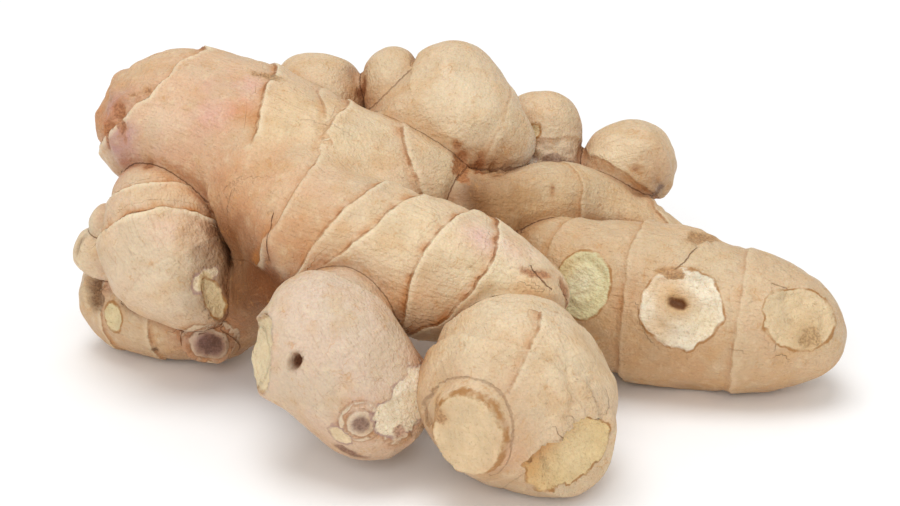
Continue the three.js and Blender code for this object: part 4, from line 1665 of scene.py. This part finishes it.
@dataclass(frozen=True)
class GingerSkin:
    """Fresh ginger's skin: a papery, dull, slightly translucent layer over pale flesh.

    It gives a soft broad gloss, tan colour with fine brown flecks, wrinkles along the finger,
    and thin brown lines where leaf sheaths stood.

    The material is worked out in four steps, each a table below: noises and the mesh's attributes
    give values, sums and soft thresholds make more values of them, coats of colour go over the
    skin's tone one after another, and a stack of bumps gives the relief.

    Attributes:
        ior: That of a waxy plant skin.
        subsurface: How much of the light comes from below the skin.
        subsurface_radius: How far red, green and blue travel in it, as shares of the scale.
        subsurface_scale: That scale, in metres.
        wrinkle_mm: Spacing of the wrinkles that run along a finger, and their length.
        bark_shade: What darkens the skin's tone in cork.
    """

    ior: float = 1.42
    subsurface: float = 0.12
    subsurface_radius: tuple[float, float, float] = (1.0, 0.45, 0.2)
    subsurface_scale: float = 0.0025
    wrinkle_mm: tuple[float, float] = (0.55, 5.0)
    bark_shade: str = "#8a6a4c"

    # Name, size in millimetres and detail. Real flecks and papery grain are near 0.1 mm across;
    # both are drawn coarser, so that they show.
    noises = (
        ("broad", 9.0, 2.0),
        ("mottle", 6.0, 4.0),
        ("vein", 5.0, 3.0),
        ("patches", 3.0, 3.0),
        ("cloud", 2.0, 3.0),
        ("crumpled", 1.8, 2.0),
        ("torn", 0.9, 2.0),
        ("pith", 0.8, 3.0),
        ("fleck", 0.55, 1.0),
        ("paper", 0.5, 3.0),
    )
    numbers = ("grain_share", "ring_mm", "ring_tint", "crack_mm", "crack_tint",
               "peel_mm", "cut_mm", "cork_mm", "pit_mm")

    # Name, operation and terms. SMOOTH and STRAIGHT carry the first term from between the next
    # two to between the last two.
    values = (
        ("roughness", STRAIGHT, "mottle", 0.3, 0.7, 0.42, 0.66),
        # cloudy patches, grain, wrinkles and flecks
        ("pale", SMOOTH, "tone_light", 0.12, 0.42, 0.0, 1.0),
        ("gloss", SMOOTH, "tone_light", 0.03, 0.25, 0.08, 0.5),
        ("tan_cloud", SMOOTH, "mottle", 0.45, 0.68, 0.0, 0.34),
        ("tan", "MULTIPLY", "tan_cloud", "pale"),
        ("grey_cloud", SMOOTH, "broad", 0.45, 0.65, 0.0, 0.32),
        ("grey", "MULTIPLY", "grey_cloud", "pale"),
        ("cream_cloud", SMOOTH, "cloud", 0.50, 0.74, 0.0, 0.20),
        ("cream", "MULTIPLY", "cream_cloud", "pale"),
        ("papery", SMOOTH, "paper", 0.3, 0.7, 0.955, 1.045),
        ("vein_off", "SUBTRACT", "vein", 0.5),
        ("vein_near", "ABSOLUTE", "vein_off"),
        ("vein_line", SMOOTH, "vein_near", 0.0, 0.022, 1.0, 0.0),
        ("vein_part", SMOOTH, "patches", 0.50, 0.66, 0.0, 0.42),
        ("veined", "MULTIPLY", "vein_line", "vein_part"),
        ("streak", SMOOTH, "fibre", 0.52, 0.75, 0.0, 0.22),
        ("streaked", "MULTIPLY", "streak", "grain_share"),
        ("speck", SMOOTH, "fleck", 0.62, 0.76, 0.0, 1.0),
        ("speck_part", SMOOTH, "mottle", 0.35, 0.6, 0.06, 0.34),
        ("specked", "MULTIPLY", "speck", "speck_part"),
        # borders are torn by up to 0.45 mm
        ("tear", "MULTIPLY_ADD", "torn", 0.9, -0.45),
        ("half_tear", "MULTIPLY", "tear", 0.5),
        ("patchy", SMOOTH, "patches", 0.34, 0.58, 0.25, 1.0),
        # a sheath line: a warm halo before it, a thin core and a pale edge past it
        ("ring", "ADD", "ring_mm", "half_tear"),
        ("ring_off", "ABSOLUTE", "ring"),
        ("halo_rise", SMOOTH, "ring", -2.2, -0.10, 0.0, 1.0),
        ("halo_fall", SMOOTH, "ring", 0.0, 0.2, 1.0, 0.0),
        ("halo_both", "MULTIPLY", "halo_rise", "halo_fall"),
        ("halo_patchy", "MULTIPLY", "halo_both", "patchy"),
        ("halo", "MULTIPLY", "halo_patchy", "ring_tint"),
        ("edge_rise", SMOOTH, "ring", 0.1, 0.35, 0.0, 0.75),
        ("edge_fall", SMOOTH, "ring", 0.4, 1.8, 1.0, 0.0),
        ("edge_both", "MULTIPLY", "edge_rise", "edge_fall"),
        ("edge", "MULTIPLY", "edge_both", "ring_tint"),
        ("core_line", SMOOTH, "ring_off", 0.16, 0.40, 1.0, 0.0),
        ("core_tint", "MULTIPLY", "core_line", "ring_tint"),
        ("core", "MULTIPLY", "core_tint", "patchy"),
        # bared flesh, with faint rings that follow its border
        ("peel", "ADD", "peel_mm", "tear"),
        ("peel_off", "ABSOLUTE", "peel"),
        ("peel_share", SMOOTH, "peel", -0.1, 0.1, 1.0, 0.0),
        ("peel_line", SMOOTH, "peel_off", 0.1, 0.6, 0.8, 0.0),
        ("peel_rim", "MULTIPLY", "peel_line", "patchy"),
        ("cut", "ADD", "cut_mm", "half_tear"),
        ("cut_off", "ABSOLUTE", "cut"),
        ("cut_share", SMOOTH, "cut", -0.1, 0.1, 1.0, 0.0),
        ("cut_line", SMOOTH, "cut_off", 0.1, 0.45, 0.9, 0.0),
        ("cut_rim", "MULTIPLY", "cut_line", "patchy"),
        ("pith_shade", SMOOTH, "pith", 0.35, 0.7, 0.0, 0.28),
        ("pith_speck", SMOOTH, "fleck", 0.62, 0.72, 0.0, 0.3),
        ("growth", "MULTIPLY_ADD", "tear", 2.6, "cut_mm"),
        ("growth_turn", "MULTIPLY", "growth", 3.4),
        ("growth_wave", "SINE", "growth_turn"),
        ("growth_line", SMOOTH, "growth_wave", 0.5, 1.0, 0.0, 0.13),
        # cork, cracks and holes
        ("cork_torn", "MULTIPLY_ADD", "tear", 1.6, "cork_mm"),
        ("cork", SMOOTH, "cork_torn", -0.35, 0.35, 0.88, 0.0),
        ("bark", SMOOTH, "paper", 0.35, 0.65, 0.0, 0.5),
        ("crack", "MULTIPLY_ADD", "tear", 0.4, "crack_mm"),
        ("crack_off", "ABSOLUTE", "crack"),
        ("crack_line", SMOOTH, "crack_off", 0.05, 0.20, 0.9, 0.0),
        ("split", "MULTIPLY", "crack_line", "crack_tint"),
        ("pit_torn", "ADD", "pit_mm", "half_tear"),
        ("pit", SMOOTH, "pit_torn", -0.9, 0.1, 0.9, 0.0),
        # relief
        ("fibre_tall", "MULTIPLY", "fibre", "grain_share"),
        ("crumple_off", "SUBTRACT", "crumpled", 0.5),
        ("crumple_fold", "ABSOLUTE", "crumple_off"),
        ("crumple_down", "MULTIPLY", "crumple_fold", -1.0),
        ("split_down", "MULTIPLY", "split", -1.0),
        ("core_down", "MULTIPLY", "core_tint", -1.0),
        ("growth_down", "MULTIPLY", "growth_line", "cut_share"),
    )

    # How much of each coat shows, and its colour.
    flesh_coats = (
        ("pith_shade", "#cfae7e"),
        ("pith_speck", "#a98558"),
        ("growth_line", "#c7a473"),
    )
    skin_coats = (
        ("tan", "#cda069"),
        ("grey", "#cbb898"),
        ("cream", "#f0dfb8"),
        ("veined", "#c58c4e"),
        ("streaked", "#b98557"),
        ("specked", "#9a6f4b"),
        ("halo", "#bd7636"),
        ("edge", "#f1dfbd"),
        ("core", "#8f5a2c"),
        ("peel_share", "flesh"),
        ("peel_rim", "#a8857a"),
        ("cut_share", "flesh"),
        ("cut_rim", "#a9753c"),
        ("cork", "bark"),
        ("split", "#774a28"),
        ("pit", "#6f3d1c"),
    )

    # What stands up, its height in millimetres and how strongly it shows.
    reliefs = (
        ("paper", 0.12, 0.8),
        ("fibre_tall", 0.30, 0.8),
        ("crumple_down", 0.80, 0.85),
        ("cloud", 0.60, 0.6),
        ("split_down", 0.30, 0.9),
        ("core_down", 0.20, 0.9),
        ("growth_down", 0.30, 0.6),
    )

    def material(self) -> bpy.types.Material:
        """Builds the material's nodes from the tables.

        Returns:
            The finished material.
        """
        skin = bpy.data.materials.new("fresh_ginger_skin")
        skin.use_nodes = True
        tree = skin.node_tree
        tree.nodes.clear()
        found = self.gather(tree)
        for name, operation, *terms in self.values:
            sockets = {i: found.get(term, term) for i, term in enumerate(terms)}
            if operation in (SMOOTH, STRAIGHT):
                found[name] = add(tree, "MapRange", sockets, interpolation_type=operation)
            else:
                found[name] = add(tree, "Math", sockets, operation=operation)
        found["flesh"] = self.coated(tree, found, "flesh", self.flesh_coats)
        found["bark"] = add(
            tree, "Mix", {SHARE: found["bark"], UNDER: found["tone"], OVER: rgba(self.bark_shade)},
            MIXED, data_type="RGBA", blend_type="MULTIPLY")
        found["tone"] = add(
            tree, "Mix", {SHARE: 1.0, UNDER: found["tone"], OVER: found["papery"]},
            MIXED, data_type="RGBA", blend_type="MULTIPLY")
        surface = add(tree, "BsdfPrincipled", {
            "Base Color": self.coated(tree, found, "tone", self.skin_coats),
            "Roughness": found["roughness"],
            "IOR": self.ior,
            "Specular IOR Level": found["gloss"],
            "Subsurface Weight": self.subsurface,
            "Subsurface Radius": self.subsurface_radius,
            "Subsurface Scale": self.subsurface_scale,
            "Normal": self.relief(tree, found),
        })
        add(tree, "OutputMaterial", {"Surface": surface})
        return skin

    def gather(self, tree: bpy.types.NodeTree) -> dict[str, Socket]:
        """Adds the noises and reads the mesh's attributes.

        Args:
            tree: The material's node tree.

        Returns:
            Each noise's and attribute's output, under its own name.
        """
        place = add(tree, "TexCoord", {}, "Object")
        found = {}
        for name, size, detail in self.noises:
            sockets = {"Vector": place, "Scale": 1.0 / (size * MM), "Detail": detail}
            found[name] = add(tree, "TexNoise", sockets, "Fac")
        for name in self.numbers:
            found[name] = add(tree, "Attribute", {}, "Fac", attribute_name=name)
        for name in ("tone", "flesh"):
            found[name] = add(tree, "Attribute", {}, "Color", attribute_name=name)
        found["tone_light"] = add(tree, "RGBToBW", {"Color": found["tone"]})
        across, along = self.wrinkle_mm
        grain = add(tree, "Attribute", {}, "Vector", attribute_name="grain")
        per_wrinkle = (1 / across, 1 / across, 1 / along)
        stretched = add(tree, "VectorMath", {0: grain, 1: per_wrinkle}, operation="MULTIPLY")
        sockets = {"Vector": stretched, "Scale": 1.0, "Detail": 2.0}
        found["fibre"] = add(tree, "TexNoise", sockets, "Fac")
        return found

    def coated(self, tree: bpy.types.NodeTree, found: dict[str, Socket], base: str,
               coats: tuple[tuple[str, str], ...]) -> Socket:
        """Lays coats over a base colour, each over the last.

        Args:
            tree: The material's node tree.
            found: The outputs by name.
            base: The name of the colour that is coated.
            coats: How much of each coat shows, and its colour or the name of one.

        Returns:
            The coated colour.
        """
        shade = found[base]
        for share, coat in coats:
            colour = rgba(coat) if coat.startswith("#") else found[coat]
            sockets = {SHARE: found[share], UNDER: shade, OVER: colour}
            shade = add(tree, "Mix", sockets, MIXED, data_type="RGBA")
        return shade

    def relief(self, tree: bpy.types.NodeTree, found: dict[str, Socket]) -> Socket:
        """Stacks the bumps, each on the normal that the last one gives.

        Args:
            tree: The material's node tree.
            found: The outputs by name.

        Returns:
            The last bump's normal.
        """
        normal = None
        for height, tall_mm, strength in self.reliefs:
            sockets = {"Height": found[height], "Distance": tall_mm * MM, "Strength": strength}
            if normal is not None:
                sockets["Normal"] = normal
            normal = add(tree, "Bump", sockets)
        return normal


@dataclass(frozen=True)
class PaleTable:
    """A plain matt white table top, sprayed smooth, which only shows soft shadows."""

    colour: str = "#ffffff"
    roughness: float = 0.9

    def material(self) -> bpy.types.Material:
        """Sets the plain shader to the table's finish.

        Returns:
            The finished material.
        """
        paint = bpy.data.materials.new("matt_white_table")
        paint.use_nodes = True
        surface = paint.node_tree.nodes["Principled BSDF"]
        surface.inputs["Base Color"].default_value = rgba(self.colour)
        surface.inputs["Roughness"].default_value = self.roughness
        surface.inputs["Specular IOR Level"].default_value = 0.0
        return paint


# ---------------------------------------------------------------- studio


@dataclass(frozen=True)
class Softbox:
    """A square area light: where it stands and its side, in metres, and its power in watts."""

    name: str
    at: tuple[float, float, float]
    side: float
    watts: float
    colour: str = "#ffffff"


@dataclass(frozen=True)
class Studio:
    """A pale table under broad soft light, and the camera, in metres around the rhizome.

    Attributes:
        table_radius: The table top's radius.
        table_sides: How many sides the disc has.
        table_drop: How far it lies below the rhizome, so that the two never share a plane.
        sky_strength: How bright the white sky is.
        lens: The camera's focal length, in millimetres.
        distance: From the camera to the point that it looks at.
        elevation: How steeply it looks down, in degrees.
        aim_offset: Where that point lies from the middle of the frame's box.
        softboxes: The lights.
    """

    table_radius: float = 2.5
    table_sides: int = 96
    table_drop: float = 0.0001
    sky_strength: float = 0.55
    lens: float = 100.0
    distance: float = 0.5285
    elevation: float = 24.0
    aim_offset: tuple[float, float, float] = (-0.0008, 0.0021, -0.0021)
    softboxes: tuple[Softbox, ...] = (
        Softbox("overhead_softbox", (-0.2, 0.1, 2.0), 1.3, 19.0),
        Softbox("front_softbox", (-0.3, -1.6, 1.0), 0.9, 9.0),
    )

    def build(self) -> None:
        """Sets up the table, the lights and the camera."""
        self.lay_table()
        self.light()
        self.place_camera()

    def lay_table(self) -> None:
        """Lays a large disc just under the rhizome: radius * (cos(turn), sin(turn))."""
        turn = np.linspace(0.0, 2 * math.pi, self.table_sides, endpoint=False)
        rim = np.stack([self.table_radius * np.cos(turn), self.table_radius * np.sin(turn),
                        np.full_like(turn, -self.table_drop)], axis=1)
        mesh = bpy.data.meshes.new("table_top")
        mesh.from_pydata(rim.tolist(), [], [list(range(len(rim)))])
        mesh.materials.append(PaleTable().material())
        table = bpy.data.objects.new("table_top", mesh)
        bpy.context.scene.collection.objects.link(table)

    def light(self) -> None:
        """Lights the table from an even white sky and the softboxes."""
        scene = bpy.context.scene
        scene.world = bpy.data.worlds.new("white_tent")
        scene.world.use_nodes = True
        sky = scene.world.node_tree.nodes["Background"]
        sky.inputs["Color"].default_value = (1.0, 1.0, 1.0, 1.0)
        sky.inputs["Strength"].default_value = self.sky_strength
        for box in self.softboxes:
            lamp = bpy.data.lights.new(box.name, "AREA")
            lamp.size = box.side
            lamp.energy = box.watts
            lamp.color = linear(box.colour)
            holder = bpy.data.objects.new(box.name, lamp)
            holder.location = box.at
            holder.rotation_euler = (-Vector(box.at)).to_track_quat("-Z", "Y").to_euler()
            scene.collection.objects.link(holder)

    def place_camera(self) -> None:
        """Looks along +Y and down at the middle of the frame's box."""
        scene = bpy.context.scene
        lens = bpy.data.cameras.new("camera")
        lens.lens = self.lens
        camera = bpy.data.objects.new("camera", lens)
        middle = (Vector(CAD_BOX[0]) + Vector(CAD_BOX[1])) / 2
        down = math.radians(self.elevation)
        forward = Vector((0.0, math.cos(down), -math.sin(down)))
        camera.location = middle + Vector(self.aim_offset) - forward * self.distance
        camera.rotation_euler = forward.to_track_quat("-Z", "Y").to_euler()
        scene.collection.objects.link(camera)
        scene.camera = camera
        scene.view_settings.view_transform = "Standard"


def main() -> None:
    """Builds the skin, dresses it and sets up the studio."""
    logging.basicConfig(level=logging.INFO, format="%(name)s: %(message)s")
    skin = Rhizome().build()
    skin.data.materials.append(GingerSkin().material())
    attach(skin, BODY)
    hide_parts(NODE)
    mesh = skin.data
    LOG.info("%s: %d vertices, %d quads", skin.name, len(mesh.vertices), len(mesh.polygons))
    Studio().build()


if __name__ == "__main__":
    main()
